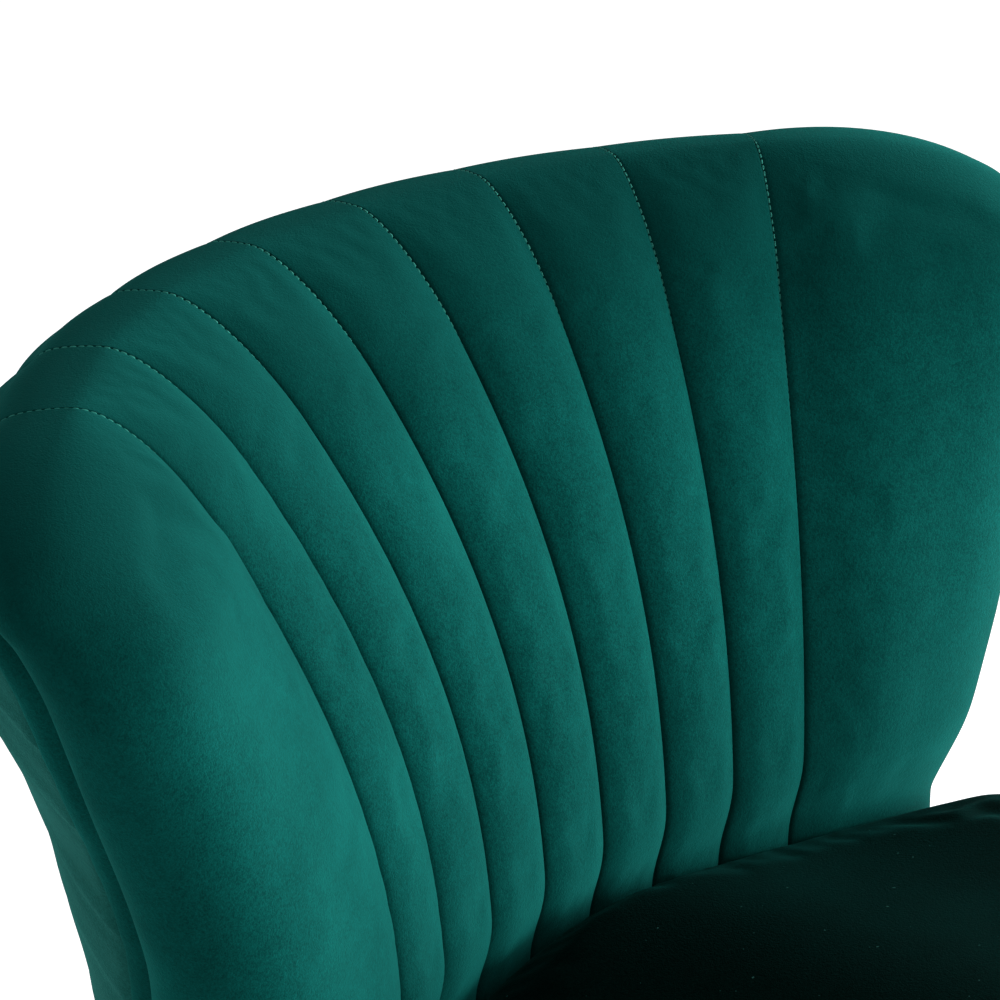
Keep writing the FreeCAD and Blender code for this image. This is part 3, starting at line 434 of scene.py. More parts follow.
def crowded(low: float, high: float, near: Sequence[float], clear: float, count: int) -> np.ndarray:
    """Levels that crowd at both ends.

    Args:
        low: the lowest level.
        high: the highest level.
        near: distances from an end that get a level of their own.
        clear: distance from an end where the even levels start.
        count: number of even levels.

    Returns:
        The levels from the lowest to the highest.
    """
    near = np.asarray(near)
    return np.concatenate([low + near, np.linspace(low + clear, high - clear, count), high - near[::-1]])


@dataclass
class Mesh:
    """Points and faces gathered for one piece."""

    points: list[np.ndarray] = field(default_factory=list)
    faces: list[tuple[int, ...]] = field(default_factory=list)
    held: list[np.ndarray] = field(default_factory=list)
    count: int = 0

    def add(self, points: np.ndarray, held: np.ndarray | None = None) -> int:
        """Adds points and how firmly each is held. Returns the first one's number.

        Args:
            points: rows of x, y and z.
            held: how firmly each is held, from 0 to 1.

        Returns:
            The first point's number.
        """
        first = self.count
        flat = points.reshape(-1, 3)
        self.points.append(flat)
        self.held.append(np.ones(len(flat)) if held is None else held.reshape(-1))
        self.count += len(flat)
        return first

    def rings(self, rings: np.ndarray, held: np.ndarray | None = None, around: bool = True) -> int:
        """Adds a skin through rings of points.

        Args:
            rings: rows of points, one row a ring.
            held: how firmly each point is held, from 0 to 1.
            around: whether each ring closes on itself.

        Returns:
            The first point's number.
        """
        rows, columns = rings.shape[:2]
        first = self.add(rings, held)
        last = columns if around else columns - 1
        for row in range(rows - 1):
            start = first + row * columns
            for column in range(last):
                following = (column + 1) % columns
                self.faces.append(
                    (start + column, start + following, start + columns + following, start + columns + column)
                )
        return first

    def cap(self, first: int, count: int, turned: bool = False) -> None:
        """Closes a ring of points with one face, turned over where asked."""
        ring = tuple(range(first, first + count))
        self.faces.append(ring[::-1] if turned else ring)

    def ladder(self, left: Sequence[int], right: Sequence[int]) -> None:
        """Joins two equally long rows of points with faces."""
        sides = zip(left, right, right[1:], left[1:])
        self.faces.extend(sides)

    def finish(self, name: str, smooth: bool = True) -> bpy.types.Object:
        """Makes the object, merges doubled points and turns its faces outwards.

        Args:
            name: the piece's name.
            smooth: whether its faces are shaded smooth.

        Returns:
            The new object, with a vertex group that says how firmly each point is held.
        """
        data = bpy.data.meshes.new(name)
        data.from_pydata(np.vstack(self.points).tolist(), [], self.faces)
        piece = in_scene(name, data)
        group = piece.vertex_groups.new(name="held")
        for index, weight in enumerate(np.concatenate(self.held)):
            if weight > 0:
                group.add([index], float(weight), "REPLACE")
        tidy(piece, smooth)
        return piece


def in_scene(name: str, data: bpy.types.ID | None) -> bpy.types.Object:
    """Makes an object of a mesh, a lamp or a camera and links it to the scene.

    Args:
        name: the object's name.
        data: its mesh, lamp or camera.

    Returns:
        The object.
    """
    piece = bpy.data.objects.new(name, data)
    bpy.context.scene.collection.objects.link(piece)
    return piece


def tidy(piece: bpy.types.Object, smooth: bool = True, reach: float = MERGE) -> None:
    """Merges doubled points, drops empty faces and turns the faces outwards.

    Args:
        piece: the object.
        smooth: whether its faces are shaded smooth.
        reach: how near doubled points lie.
    """
    work = bmesh.new()
    work.from_mesh(piece.data)
    bmesh.ops.remove_doubles(work, verts=work.verts, dist=reach)
    bmesh.ops.dissolve_degenerate(work, edges=work.edges, dist=1e-7)
    bmesh.ops.recalc_face_normals(work, faces=work.faces)
    for face in work.faces:
        face.smooth = smooth
    work.to_mesh(piece.data)
    work.free()


def coordinates(data: bpy.types.Mesh) -> np.ndarray:
    """A mesh's points as rows of numbers.

    Args:
        data: the mesh.

    Returns:
        One row a point.
    """
    values = np.empty(len(data.vertices) * 3)
    data.vertices.foreach_get("co", values)
    return values.reshape(-1, 3)


def evaluated(piece: bpy.types.Object) -> bpy.types.Mesh:
    """A plain mesh of the piece with its modifiers carried out."""
    graph = bpy.context.evaluated_depsgraph_get()
    return bpy.data.meshes.new_from_object(piece.evaluated_get(graph))


def settle(piece: bpy.types.Object) -> None:
    """Carries out the piece's modifiers and drops them.

    Args:
        piece: the object.
    """
    data = evaluated(piece)
    piece.modifiers.clear()
    piece.data = data


def subdivide(piece: bpy.types.Object, levels: int = 1) -> None:
    """Adds a subdivision surface and carries it out.

    Args:
        piece: the object.
        levels: how often each face is cut.
    """
    finer = piece.modifiers.new("finer", "SUBSURF")
    finer.levels = finer.render_levels = levels
    finer.boundary_smooth = "PRESERVE_CORNERS"
    settle(piece)


@dataclass(frozen=True)
class Stuffing:
    """How a padded piece is blown up by a short run of cloth.

    Attributes:
        pressure: outward pressure.
        cap: the furthest that a point may move.
        slack: how much larger the cloth is cut than its form.
        frames: the number of steps.
        stiffness: how hard the cloth resists a pull or a push.
        shear: how hard it resists a skew.
        bending: how hard it resists a fold.
        mass: its mass at each point.
        quality: solver steps in each step.
    """

    pressure: float = 4.0
    cap: float = 0.004
    slack: float = 0.0
    frames: int = 20
    stiffness: float = 15
    shear: float = 5
    bending: float = 0.6
    mass: float = 0.3
    quality: int = 5

    def fill(self, pieces: Sequence[bpy.types.Object]) -> None:
        """Runs the cloth on every piece together and keeps the capped result.

        Args:
            pieces: the padded objects.
        """
        before = [coordinates(piece.data) for piece in pieces]
        for piece in pieces:
            cloth = piece.modifiers.new("filling", "CLOTH")
            settings = {"quality": self.quality, "mass": self.mass, "use_pressure": True,
                        "uniform_pressure_force": self.pressure, "tension_stiffness": self.stiffness,
                        "compression_stiffness": self.stiffness, "shear_stiffness": self.shear,
                        "bending_stiffness": self.bending, "shrink_min": -self.slack,
                        "vertex_group_mass": "held", "pin_stiffness": 1.0}
            for key, value in settings.items():
                setattr(cloth.settings, key, value)
            cloth.settings.effector_weights.gravity = 0
            cloth.point_cache.frame_start = 1
            cloth.point_cache.frame_end = self.frames
        for step in range(1, self.frames + 1):
            bpy.context.scene.frame_set(step)
        for piece, old in zip(pieces, before):
            data = evaluated(piece)
            moved = coordinates(data) - old
            length = np.linalg.norm(moved, axis=1)
            scale = np.minimum(1.0, self.cap / np.maximum(length, 1e-9))
            piece.modifiers.clear()
            piece.data.vertices.foreach_set("co", (old + moved * scale[:, None]).ravel())
            piece.data.update()
            LOG.info("%s filled, moved up to %.1f mm", piece.name, 1000 * float(length.max()))
        bpy.context.scene.frame_set(1)


class Socket:
    """A shader socket that takes part in written sums."""

    def __init__(self, shader: "Shader", socket: bpy.types.NodeSocket) -> None:
        """Wraps one output of a node."""
        self.shader = shader
        self.socket = socket

    def sum(self, operation: str, first: "Socket | float", second: "Socket | float") -> "Socket":
        """A Math node on two values."""
        return self.shader.node("ShaderNodeMath", {"operation": operation}, {0: first, 1: second})

    def __add__(self, other: "Socket | float") -> "Socket":
        """This plus another."""
        return self.sum("ADD", self, other)

    __radd__ = __add__

    def __mul__(self, other: "Socket | float") -> "Socket":
        """This times another."""
        return self.sum("MULTIPLY", self, other)

    __rmul__ = __mul__

    def __sub__(self, other: "Socket | float") -> "Socket":
        """This less another."""
        return self.sum("SUBTRACT", self, other)

    def __rsub__(self, other: float) -> "Socket":
        """A number less this."""
        return self.sum("SUBTRACT", other, self)

    def above(self, low: float, high: float) -> "Socket":
        """This spread from 0 at a low value to 1 at a high one, and kept between them."""
        return self.shader.node(
            "ShaderNodeMapRange", {"clamp": True}, {"Value": self, "From Min": low, "From Max": high}
        )


class Shader:
    """The nodes of one material, or of the room's light."""

    def __init__(self, name: str, room: bool = False) -> None:
        """Starts with no nodes.

        Args:
            name: the name of the material or of the room.
            room: whether it lights the room.
        """
        self.owner = bpy.data.worlds.new(name) if room else bpy.data.materials.new(name)
        self.owner.use_nodes = True
        self.output = "World" if room else "Material"
        self.tree = self.owner.node_tree
        self.tree.nodes.clear()

    def node(
        self, kind: str, settings: dict | None = None, inputs: dict | None = None, output: int | str = 0
    ) -> Socket:
        """Makes any node.

        Args:
            kind: the node's type.
            settings: its own settings, and the stops of a ramp.
            inputs: values or links of its sockets, by name or number.
            output: the output that is handed back.

        Returns:
            The wrapped output.
        """
        node = self.tree.nodes.new(kind)
        for key, value in (settings or {}).items():
            if key == "stops":
                ramp = node.color_ramp.elements
                for index, (place, colour) in enumerate(value):
                    element = ramp[index] if index < 2 else ramp.new(place)
                    element.position = place
                    element.color = (*colour, 1.0)
            else:
                setattr(node, key, value)
        for key, value in (inputs or {}).items():
            if isinstance(value, Socket):
                self.tree.links.new(value.socket, node.inputs[key])
            elif isinstance(value, tuple) and node.inputs[key].type == "RGBA":
                node.inputs[key].default_value = (*value, 1.0)
            else:
                node.inputs[key].default_value = value
        return Socket(self, node.outputs[output])

    def place(self, scale: Triple | None = None) -> Socket:
        """The piece's own coordinates, stretched by a scale where one is given.

        Args:
            scale: the stretch along each axis.

        Returns:
            The coordinates.
        """
        spot = self.node("ShaderNodeTexCoord", output="Object")
        if scale is None:
            return spot
        return self.node("ShaderNodeMapping", {"vector_type": "POINT"}, {"Vector": spot, "Scale": scale})

    def height(self) -> Socket:
        """Height above the floor in metres."""
        return self.node("ShaderNodeSeparateXYZ", {}, {"Vector": self.place()}, "Z")

    def noise(
        self, scale: float, detail: float = 2.0, at: Socket | None = None, rough: float = 0.5
    ) -> Socket:
        """Cloudy noise with a number of patches to the metre."""
        inputs = {"Vector": at or self.place(), "Scale": scale, "Detail": detail, "Roughness": rough}
        return self.node("ShaderNodeTexNoise", {}, inputs, "Fac")

    def mix(self, share: Socket | float, first: tuple | Socket, second: tuple | Socket) -> Socket:
        """A colour between two others."""
        settings = {"data_type": "RGBA", "blend_type": "MIX"}
        return self.node("ShaderNodeMix", settings, {0: share, 6: first, 7: second}, 2)

    def bump(self, height: Socket, distance: float, strength: float = 1.0) -> Socket:
        """A surface that rises and falls by a height."""
        inputs = {"Height": height, "Distance": distance, "Strength": strength}
        return self.node("ShaderNodeBump", {}, inputs)

    def surface(self, shader: Socket) -> bpy.types.Material | bpy.types.World:
        """Ends the material, or the room's light, in a shader.

        Args:
            shader: the last shader.

        Returns:
            The material or the room.
        """
        node = self.tree.nodes.new(f"ShaderNodeOutput{self.output}")
        self.tree.links.new(shader.socket, node.inputs["Surface"])
        return self.owner

    def principled(self, colour: Socket, rough: Socket | float, normal: Socket, more: dict) -> Socket:
        """A Principled shader of a colour, a roughness, a normal and any other inputs."""
        inputs = {"Base Color": colour, "Roughness": rough, "Normal": normal, **more}
        return self.node("ShaderNodeBsdfPrincipled", {}, inputs)

    def finish(
        self, colour: Socket, rough: Socket | float, normal: Socket, more: dict | None = None
    ) -> bpy.types.Material:
        """Ends the material in one Principled shader."""
        return self.surface(self.principled(colour, rough, normal, more or {}))


@dataclass(frozen=True)
class Trail:
    """Small pieces set one after another along a path, by a Geometry Nodes tree.

    Attributes:
        pitch: the step along the path.
        size_jitter: how much the pieces differ in size.
        turn_jitter: how far they turn off the path, in radians.
        seed: the number that fixes the jitter.
    """

    pitch: float
    size_jitter: float = 0.08
    turn_jitter: float = 0.05
    seed: int = 7

    def tree(self) -> bpy.types.NodeTree:
        """Makes the tree with its named inputs.

        Returns:
            The tree.
        """
        tree = bpy.data.node_groups.new("pieces_along_path", "GeometryNodeTree")
        kinds = {"Path": "Geometry", "Piece": "Object", "Pitch": "Float", "Size jitter": "Float",
                 "Turn jitter": "Float", "Seed": "Int", "Material": "Material"}
        for name, kind in kinds.items():
            tree.interface.new_socket(name=name, in_out="INPUT", socket_type=f"NodeSocket{kind}")
        tree.interface.new_socket(name="Pieces", in_out="OUTPUT", socket_type="NodeSocketGeometry")

        def put(kind: str, inputs: dict, output: int | str = 0, **settings: str) -> bpy.types.NodeSocket:
            """Adds one node, sets it, links or fills its inputs, and hands back one output."""
            node = tree.nodes.new(kind)
            for key, value in settings.items():
                setattr(node, key, value)
            for key, value in inputs.items():
                if isinstance(value, bpy.types.NodeSocket):
                    tree.links.new(value, node.inputs[key])
                else:
                    node.inputs[key].default_value = value
            return node.outputs[output]

        def jitter(seed: bpy.types.NodeSocket) -> bpy.types.NodeSocket:
            """A random number from -1 to 1 for each piece."""
            return put("FunctionNodeRandomValue", {2: -1.0, 3: 1.0, "Seed": seed}, 1, data_type="FLOAT")

        given = tree.nodes.new("NodeGroupInput").outputs
        align = "FunctionNodeAlignRotationToVector"
        curve = put("GeometryNodeMeshToCurve", {"Mesh": given["Path"]})
        steps = put("GeometryNodeResampleCurve", {"Curve": curve, "Length": given["Pitch"]}, mode="LENGTH")
        tangent = put("GeometryNodeInputTangent", {})
        lift = put("GeometryNodeInputNamedAttribute", {"Name": "lift"}, data_type="FLOAT_VECTOR")
        aligned = put(align, {"Vector": tangent}, axis="X")
        upright = put(align, {"Rotation": aligned, "Vector": lift}, axis="Z", pivot_axis="X")
        spread = jitter(given["Seed"])
        angle = put("ShaderNodeMath", {0: spread, 1: given["Turn jitter"]}, operation="MULTIPLY")
        turn = put("FunctionNodeAxisAngleToRotation", {"Axis": (0.0, 0.0, 1.0), "Angle": angle})
        turning = {"Rotation": upright, "Rotate By": turn}
        turned = put("FunctionNodeRotateRotation", turning, rotation_space="LOCAL")
        other = jitter(put("ShaderNodeMath", {0: given["Seed"], 1: 1.0}, operation="ADD"))
        size = put("ShaderNodeMath", {0: other, 1: given["Size jitter"], 2: 1.0}, operation="MULTIPLY_ADD")
        piece = put("GeometryNodeObjectInfo", {"Object": given["Piece"]}, "Geometry")
        placing = {"Points": steps, "Instance": piece, "Rotation": turned, "Scale": size}
        placed = put("GeometryNodeInstanceOnPoints", placing)
        real = put("GeometryNodeRealizeInstances", {"Geometry": placed})
        dressed = put("GeometryNodeSetMaterial", {"Geometry": real, "Material": given["Material"]})
        tree.links.new(dressed, tree.nodes.new("NodeGroupOutput").inputs[0])
        return tree

    def lay(
        self,
        name: str,
        piece: bpy.types.Object,
        paths: Sequence[np.ndarray],
        lifts: Sequence[np.ndarray],
        material: bpy.types.Material,
    ) -> bpy.types.Object:
        """Sets the piece along all paths and joins the result into one plain mesh.

        Args:
            name: the new object's name.
            piece: the small piece, along X with its top to Z; it is used up.
            paths: rows of points, one array a path.
            lifts: the way that the piece's top looks at each point.
            material: the pieces' material.

        Returns:
            The new object.
        """
        data = bpy.data.meshes.new(name)
        starts = np.cumsum([0] + [len(path) for path in paths])
        first_ends = [start + step for start, path in zip(starts, paths) for step in range(len(path) - 1)]
        edges = [(point, point + 1) for point in first_ends]
        data.from_pydata(np.vstack(paths).tolist(), edges, [])
        lift = data.attributes.new("lift", "FLOAT_VECTOR", "POINT")
        lift.data.foreach_set("vector", np.vstack(lifts).ravel())
        result = in_scene(name, data)
        modifier = result.modifiers.new("trail", "NODES")
        tree = self.tree()
        modifier.node_group = tree
        values = {"Piece": piece, "Pitch": self.pitch, "Size jitter": self.size_jitter,
                  "Turn jitter": self.turn_jitter, "Seed": self.seed, "Material": material}
        for item in tree.interface.items_tree:
            if item.in_out == "INPUT" and item.name in values:
                modifier[item.identifier] = values[item.name]
        settle(result)
        bpy.data.objects.remove(piece)
        for face in result.data.polygons:
            face.use_smooth = True
        return result


def small_bar(
    name: str, length: float, width: float, height: float, arch: float, sides: int = 6
) -> bpy.types.Object:
    """A short rounded bar along X whose ends bend down, such as a stitch or a staple's crown.

    Args:
        name: its name.
        length: its length.
        width: its width.
        height: its height.
        arch: how far its ends lie below its middle.
        sides: number of sides.

    Returns:
        The bar's object.
    """
    places = np.array([-1.0, -0.94, -0.7, 0.0, 0.7, 0.94, 1.0])
    sizes = np.array([0.3, 0.75, 1.0, 1.0, 1.0, 0.75, 0.3])
    angle = (np.arange(sides) + 0.5) * 2 * np.pi / sides
    rings = np.zeros((len(places), sides, 3))
    rings[..., 0] = (places * length / 2)[:, None]
    rings[..., 1] = sizes[:, None] * np.cos(angle) * width / 2
    rings[..., 2] = sizes[:, None] * np.sin(angle) * height / 2 - (arch * places**4)[:, None]
    mesh = Mesh()
    first = mesh.rings(rings)
    mesh.cap(first, sides, True)
    mesh.cap(first + (len(places) - 1) * sides, sides)
    return mesh.finish(name)


@dataclass(frozen=True)
class Velvet:
    """Short pile velvet: dark where it is looked into, light along its flanks.

    Attributes:
        name: the material's name.
        deep: colour down in the pile.
        tip: colour of the pile's tips.
        glow: colour of the pile seen along the surface.
        shine: how strong that is where the pile stands.
        laid_shine: how strong that is where the pile lies flat.
        roughness: roughness under the pile's glow.
        sheen_roughness: how far that glow spreads.
        specular: how much the fibres mirror.
        nap: patches of brushed pile to the metre.
        lint: how much pale lint lies on it.
        lint_colour: colour of the lint.
        grains: patches to the metre of the pile, its fine grain, its mottling and the lint.
        turned: first level, last level and share of the painted shade over the tops, which darkens the colour
            and the sheen.
        painted_low_shade: the same painted shade low down near the seat.
    """

    name: str
    deep: Colour = (0.0002, 0.036, 0.031)
    tip: Colour = (0.0009, 0.078, 0.067)
    glow: Colour = (0.04, 0.80, 0.70)
    shine: float = 0.43
    laid_shine: float = 0.16
    roughness: float = 0.92
    sheen_roughness: float = 0.55
    specular: float = 0.03
    nap: float = 11.0
    lint: float = 0.0
    lint_colour: Colour = (0.10, 0.30, 0.27)
    grains: tuple[float, float, float, float] = (620.0, 1500.0, 130.0, 330.0)
    # Painted shade by height: the colour darkens and the sheen drops over the tops and low down.
    turned: Triple = (0.67, 0.745, 0.0)
    painted_low_shade: Triple = (0.56, 0.47, 0.0)

    def build(self) -> bpy.types.Material:
        """Makes the material.

        Returns:
            The material.
        """
        shader = Shader(self.name)
        pile_grain, fine_grain, mottle_grain, lint_grain = self.grains
        pile = shader.noise(pile_grain, 2.0)
        fine = shader.noise(fine_grain, 1.0)
        mottle = shader.noise(mottle_grain, 3.0)
        brushed = shader.noise(self.nap, 2.5, rough=0.55)
        tone = pile * 0.35 + fine * 0.45 + mottle * 0.2
        colour = shader.mix(tone.above(0.37, 0.63), self.deep, self.tip)
        if self.lint > 0:
            specks = shader.noise(lint_grain, 1.0).above(0.785, 0.81)
            colour = shader.mix(specks * self.lint, colour, self.lint_colour)
        raised_nap_and_painted_shade = brushed.above(0.32, 0.68)
        # Painted shade by height: over the tops and low down the colour goes to the deep colour and the
        # raised sheen gives way to the laid one.
        if self.turned[2] > 0:
            height = shader.height()
            for first, last, share in (self.turned, self.painted_low_shade):
                height_painted_shade = height.above(first, last) * share
                colour = shader.mix(height_painted_shade, colour, self.deep)
                raised_nap_and_painted_shade = raised_nap_and_painted_shade * (1.0 - height_painted_shade)
        normal = shader.bump(pile * 0.5 + fine * 0.5, 0.0006, 0.6)
        sheen = {"Specular IOR Level": self.specular, "Sheen Roughness": self.sheen_roughness,
                 "Sheen Tint": self.glow}
        laid, raised = (shader.principled(colour, self.roughness, normal, {**sheen, "Sheen Weight": weight})
                        for weight in (self.laid_shine, self.shine))
        both = shader.node("ShaderNodeMixShader", {}, {0: raised_nap_and_painted_shade, 1: laid, 2: raised})
        return shader.surface(both)


@dataclass(frozen=True)
class Thread:
    """Twisted sewing thread."""

    name: str
    colour: Colour

    def build(self) -> bpy.types.Material:
        """Makes the material.

        Returns:
            The material.
        """
        shader = Shader(self.name)
        twist = shader.noise(2200.0, 1.0)
        colour = shader.mix(twist.above(0.3, 0.7), tuple(0.7 * value for value in self.colour), self.colour)
        normal = shader.bump(twist, 0.0002, 0.5)
        return shader.finish(colour, 0.7, normal, {"Specular IOR Level": 0.1})


@dataclass(frozen=True)
class Wood:
    """Plain plywood with its grain along one axis and its veneers stacked along another."""

    name: str
    pale: Colour = (0.60, 0.42, 0.24)
    dark: Colour = (0.38, 0.24, 0.12)

    def build(self) -> bpy.types.Material:
        """Makes the material.

        Returns:
            The material.
        """
        shader = Shader(self.name)
        stretched = shader.place((6.0, 60.0, 60.0))
        grain = shader.noise(2.2, 4.0, stretched, 0.6)
        pores = shader.noise(9.0, 2.0, stretched)
        veneer = shader.node(
            "ShaderNodeTexWave",
            {"wave_type": "BANDS", "bands_direction": "Z"},
            {"Vector": shader.place(), "Scale": 105.0, "Distortion": 1.2, "Detail": 1.0},
            "Fac",
        )
        tone = grain * 0.6 + pores * 0.2 + veneer * 0.2
        colour = shader.mix(tone.above(0.3, 0.72), self.dark, self.pale)
        normal = shader.bump(grain * 0.5 + pores * 0.5, 0.0003, 0.5)
        return shader.finish(colour, grain * 0.2 + 0.55, normal)


@dataclass(frozen=True)
class Pressed:
    """Pressed or bonded fibres: board, felt and thin lining."""

    name: str
    pale: Colour
    dark: Colour
    scale: float = 500.0
    depth: float = 0.0004
    roughness: float = 0.9

    def build(self) -> bpy.types.Material:
        """Makes the material.

        Returns:
            The material.
        """
        shader = Shader(self.name)
        fibres = shader.noise(self.scale, 4.0, rough=0.65)
        patches = shader.noise(25.0, 2.0)
        colour = shader.mix((fibres * 0.75 + patches * 0.25).above(0.35, 0.65), self.dark, self.pale)
        normal = shader.bump(fibres, self.depth, 0.7)
        return shader.finish(colour, self.roughness, normal)


@dataclass(frozen=True)
class Foam:
    """Open cell foam."""

    name: str = "open_cell_foam"
    pale: Colour = (0.84, 0.79, 0.60)
    dark: Colour = (0.56, 0.48, 0.30)

    def build(self) -> bpy.types.Material:
        """Makes the material.

        Returns:
            The material.
        """
        shader = Shader(self.name)
        cells = shader.node(
            "ShaderNodeTexVoronoi", {"feature": "F1"}, {"Vector": shader.place(), "Scale": 750.0}, "Distance"
        )
        patches = shader.noise(18.0, 2.0)
        colour = shader.mix((cells * 0.8 + patches * 0.4).above(0.2, 0.8), self.dark, self.pale)
        normal = shader.bump(cells, 0.0008, 0.7)
        return shader.finish(colour, 0.95, normal)


@dataclass(frozen=True)
class Metal:
    """Bare or plated metal, brushed along one axis, with light wear."""

    name: str
    colour: Colour
    roughness: float = 0.3
    brush: Triple = (400.0, 400.0, 12.0)
    worn: float = 0.12
    least_rough: float = 0.12
    stroke_rough: float = 0.16
    cloud_rough: float = 0.10

    def build(self) -> bpy.types.Material:
        """Makes the material.

        Returns:
            The material.
        """
        shader = Shader(self.name)
        strokes = shader.noise(1.0, 3.0, shader.place(self.brush), 0.6)
        clouds = shader.noise(30.0, 3.0)
        dulled = tuple(value * (1 - self.worn) for value in self.colour)
        colour = shader.mix((strokes * 0.5 + clouds * 0.5).above(0.35, 0.65), dulled, self.colour)
        rough = strokes * self.stroke_rough + clouds * self.cloud_rough + (self.roughness - self.least_rough)
        normal = shader.bump(strokes, 0.00006, 0.4)
        return shader.finish(colour, rough, normal, {"Metallic": 1.0})


@dataclass(frozen=True)
class Plastic:
    """Moulded plastic with a fine grain and scuffs."""

    name: str
    colour: Colour
    roughness: float = 0.45

    def build(self) -> bpy.types.Material:
        """Makes the material.

        Returns:
            The material.
        """
        shader = Shader(self.name)
        grain = shader.noise(1800.0, 1.0)
        scuffs = shader.noise(90.0, 5.0, rough=0.7).above(0.52, 0.7)
        lighter = tuple(value * 1.7 + 0.01 for value in self.colour)
        colour = shader.mix(scuffs * 0.5, self.colour, lighter)
        normal = shader.bump(grain, 0.0001, 0.4)
        return shader.finish(colour, scuffs * 0.2 + self.roughness, normal)


FINISHES = {
    # The back velvet carries painted shade over its tops and low down near the seat.
    "velvet": Velvet("back_velvet", turned=(0.67, 0.745, 0.85), painted_low_shade=(0.56, 0.46, 0.6)),
    # The seat's copy of the velvet is painted shade: its colour painted far darker and its sheen nearly gone;
    # the lint is real.
    "seat_velvet_painted_shade": Velvet(
        "seat_velvet_painted_shade",
        deep=(0.0001, 0.0022, 0.0016),
        tip=(0.0004, 0.0070, 0.0056),
        shine=0.05,
        laid_shine=0.03,
        sheen_roughness=0.3,
        specular=0.01,
        lint=0.4,
    ),
    # The outer copy of the velvet has a lighter colour that is painted light, standing in for its sheen at
    # grazing angles; its sheen weight is real.
    "outer_velvet_painted_light": Velvet(
        "outer_velvet_painted_light",
        deep=(0.003, 0.062, 0.052),
        tip=(0.010, 0.118, 0.100),
        glow=(0.14, 0.80, 0.70),
        shine=0.46,
        laid_shine=0.34,
    ),
    "thread": Thread("seam_thread", (0.05, 0.36, 0.29)),
    "foam": Foam(),
    "felt": Pressed("grey_felt", (0.36, 0.35, 0.33), (0.16, 0.155, 0.15), 420.0, 0.0006),
    "lining": Pressed("black_lining", (0.030, 0.030, 0.032), (0.008, 0.008, 0.009), 900.0, 0.0003, 0.8),
    "plywood": Wood("plywood"),
    "fibreboard": Pressed("brown_board", (0.34, 0.22, 0.13), (0.20, 0.12, 0.07), 700.0, 0.0002, 0.75),
    "spring_steel": Metal("spring_steel", (0.30, 0.31, 0.33), 0.38, (90.0, 90.0, 90.0), 0.35),
    "zinc": Metal("zinc_plate", (0.62, 0.63, 0.65), 0.34, (260.0, 260.0, 260.0), 0.2),
    "gold_metal": Metal("gold_metal", (0.78, 0.55, 0.24), 0.27),
    "glide_plastic": Plastic("glide_plastic", (0.022, 0.022, 0.023)),
}


class Finishes:
    """The materials, each made once."""

    def __init__(self) -> None:
        """Starts with no material made."""
        self.made: dict[str, bpy.types.Material] = {}

    def __getitem__(self, name: str) -> bpy.types.Material:
        """The named material, made when first asked for.

        Args:
            name: the finish's name.

        Returns:
            The material.
        """
        if name not in self.made:
            self.made[name] = FINISHES[name].build()
        return self.made[name]


@dataclass
class Workshop:
    """What every sub-assembly shares: the finishes and the hand-over of a piece."""

    finishes: Finishes = field(default_factory=Finishes)
    dressed: set[str] = field(default_factory=set)

    def hand_over(
        self,
        piece: bpy.types.Object,
        finish: str,
        slot: str,
        nodes: Sequence[str] = (),
        fill: float | None = None,
    ) -> None:
        """Dresses a finished piece, hangs it under the root body and hides the nodes that it stands for.

        Args:
            piece: the object, at the origin.
            finish: the finish's name.
            slot: the record's slot that it belongs to; not used.
            nodes: the nodes that it stands for.
            fill: how full a padded piece is, or None where it isn't padded; not used.
        """
        piece.data.materials.clear()
        piece.data.materials.append(self.finishes[finish])
        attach(piece, "root")
        if nodes:
            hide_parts(*nodes)
            self.dressed.update(nodes)
        LOG.info("%s: %d faces, finish %s", piece.name, len(piece.data.polygons), finish)


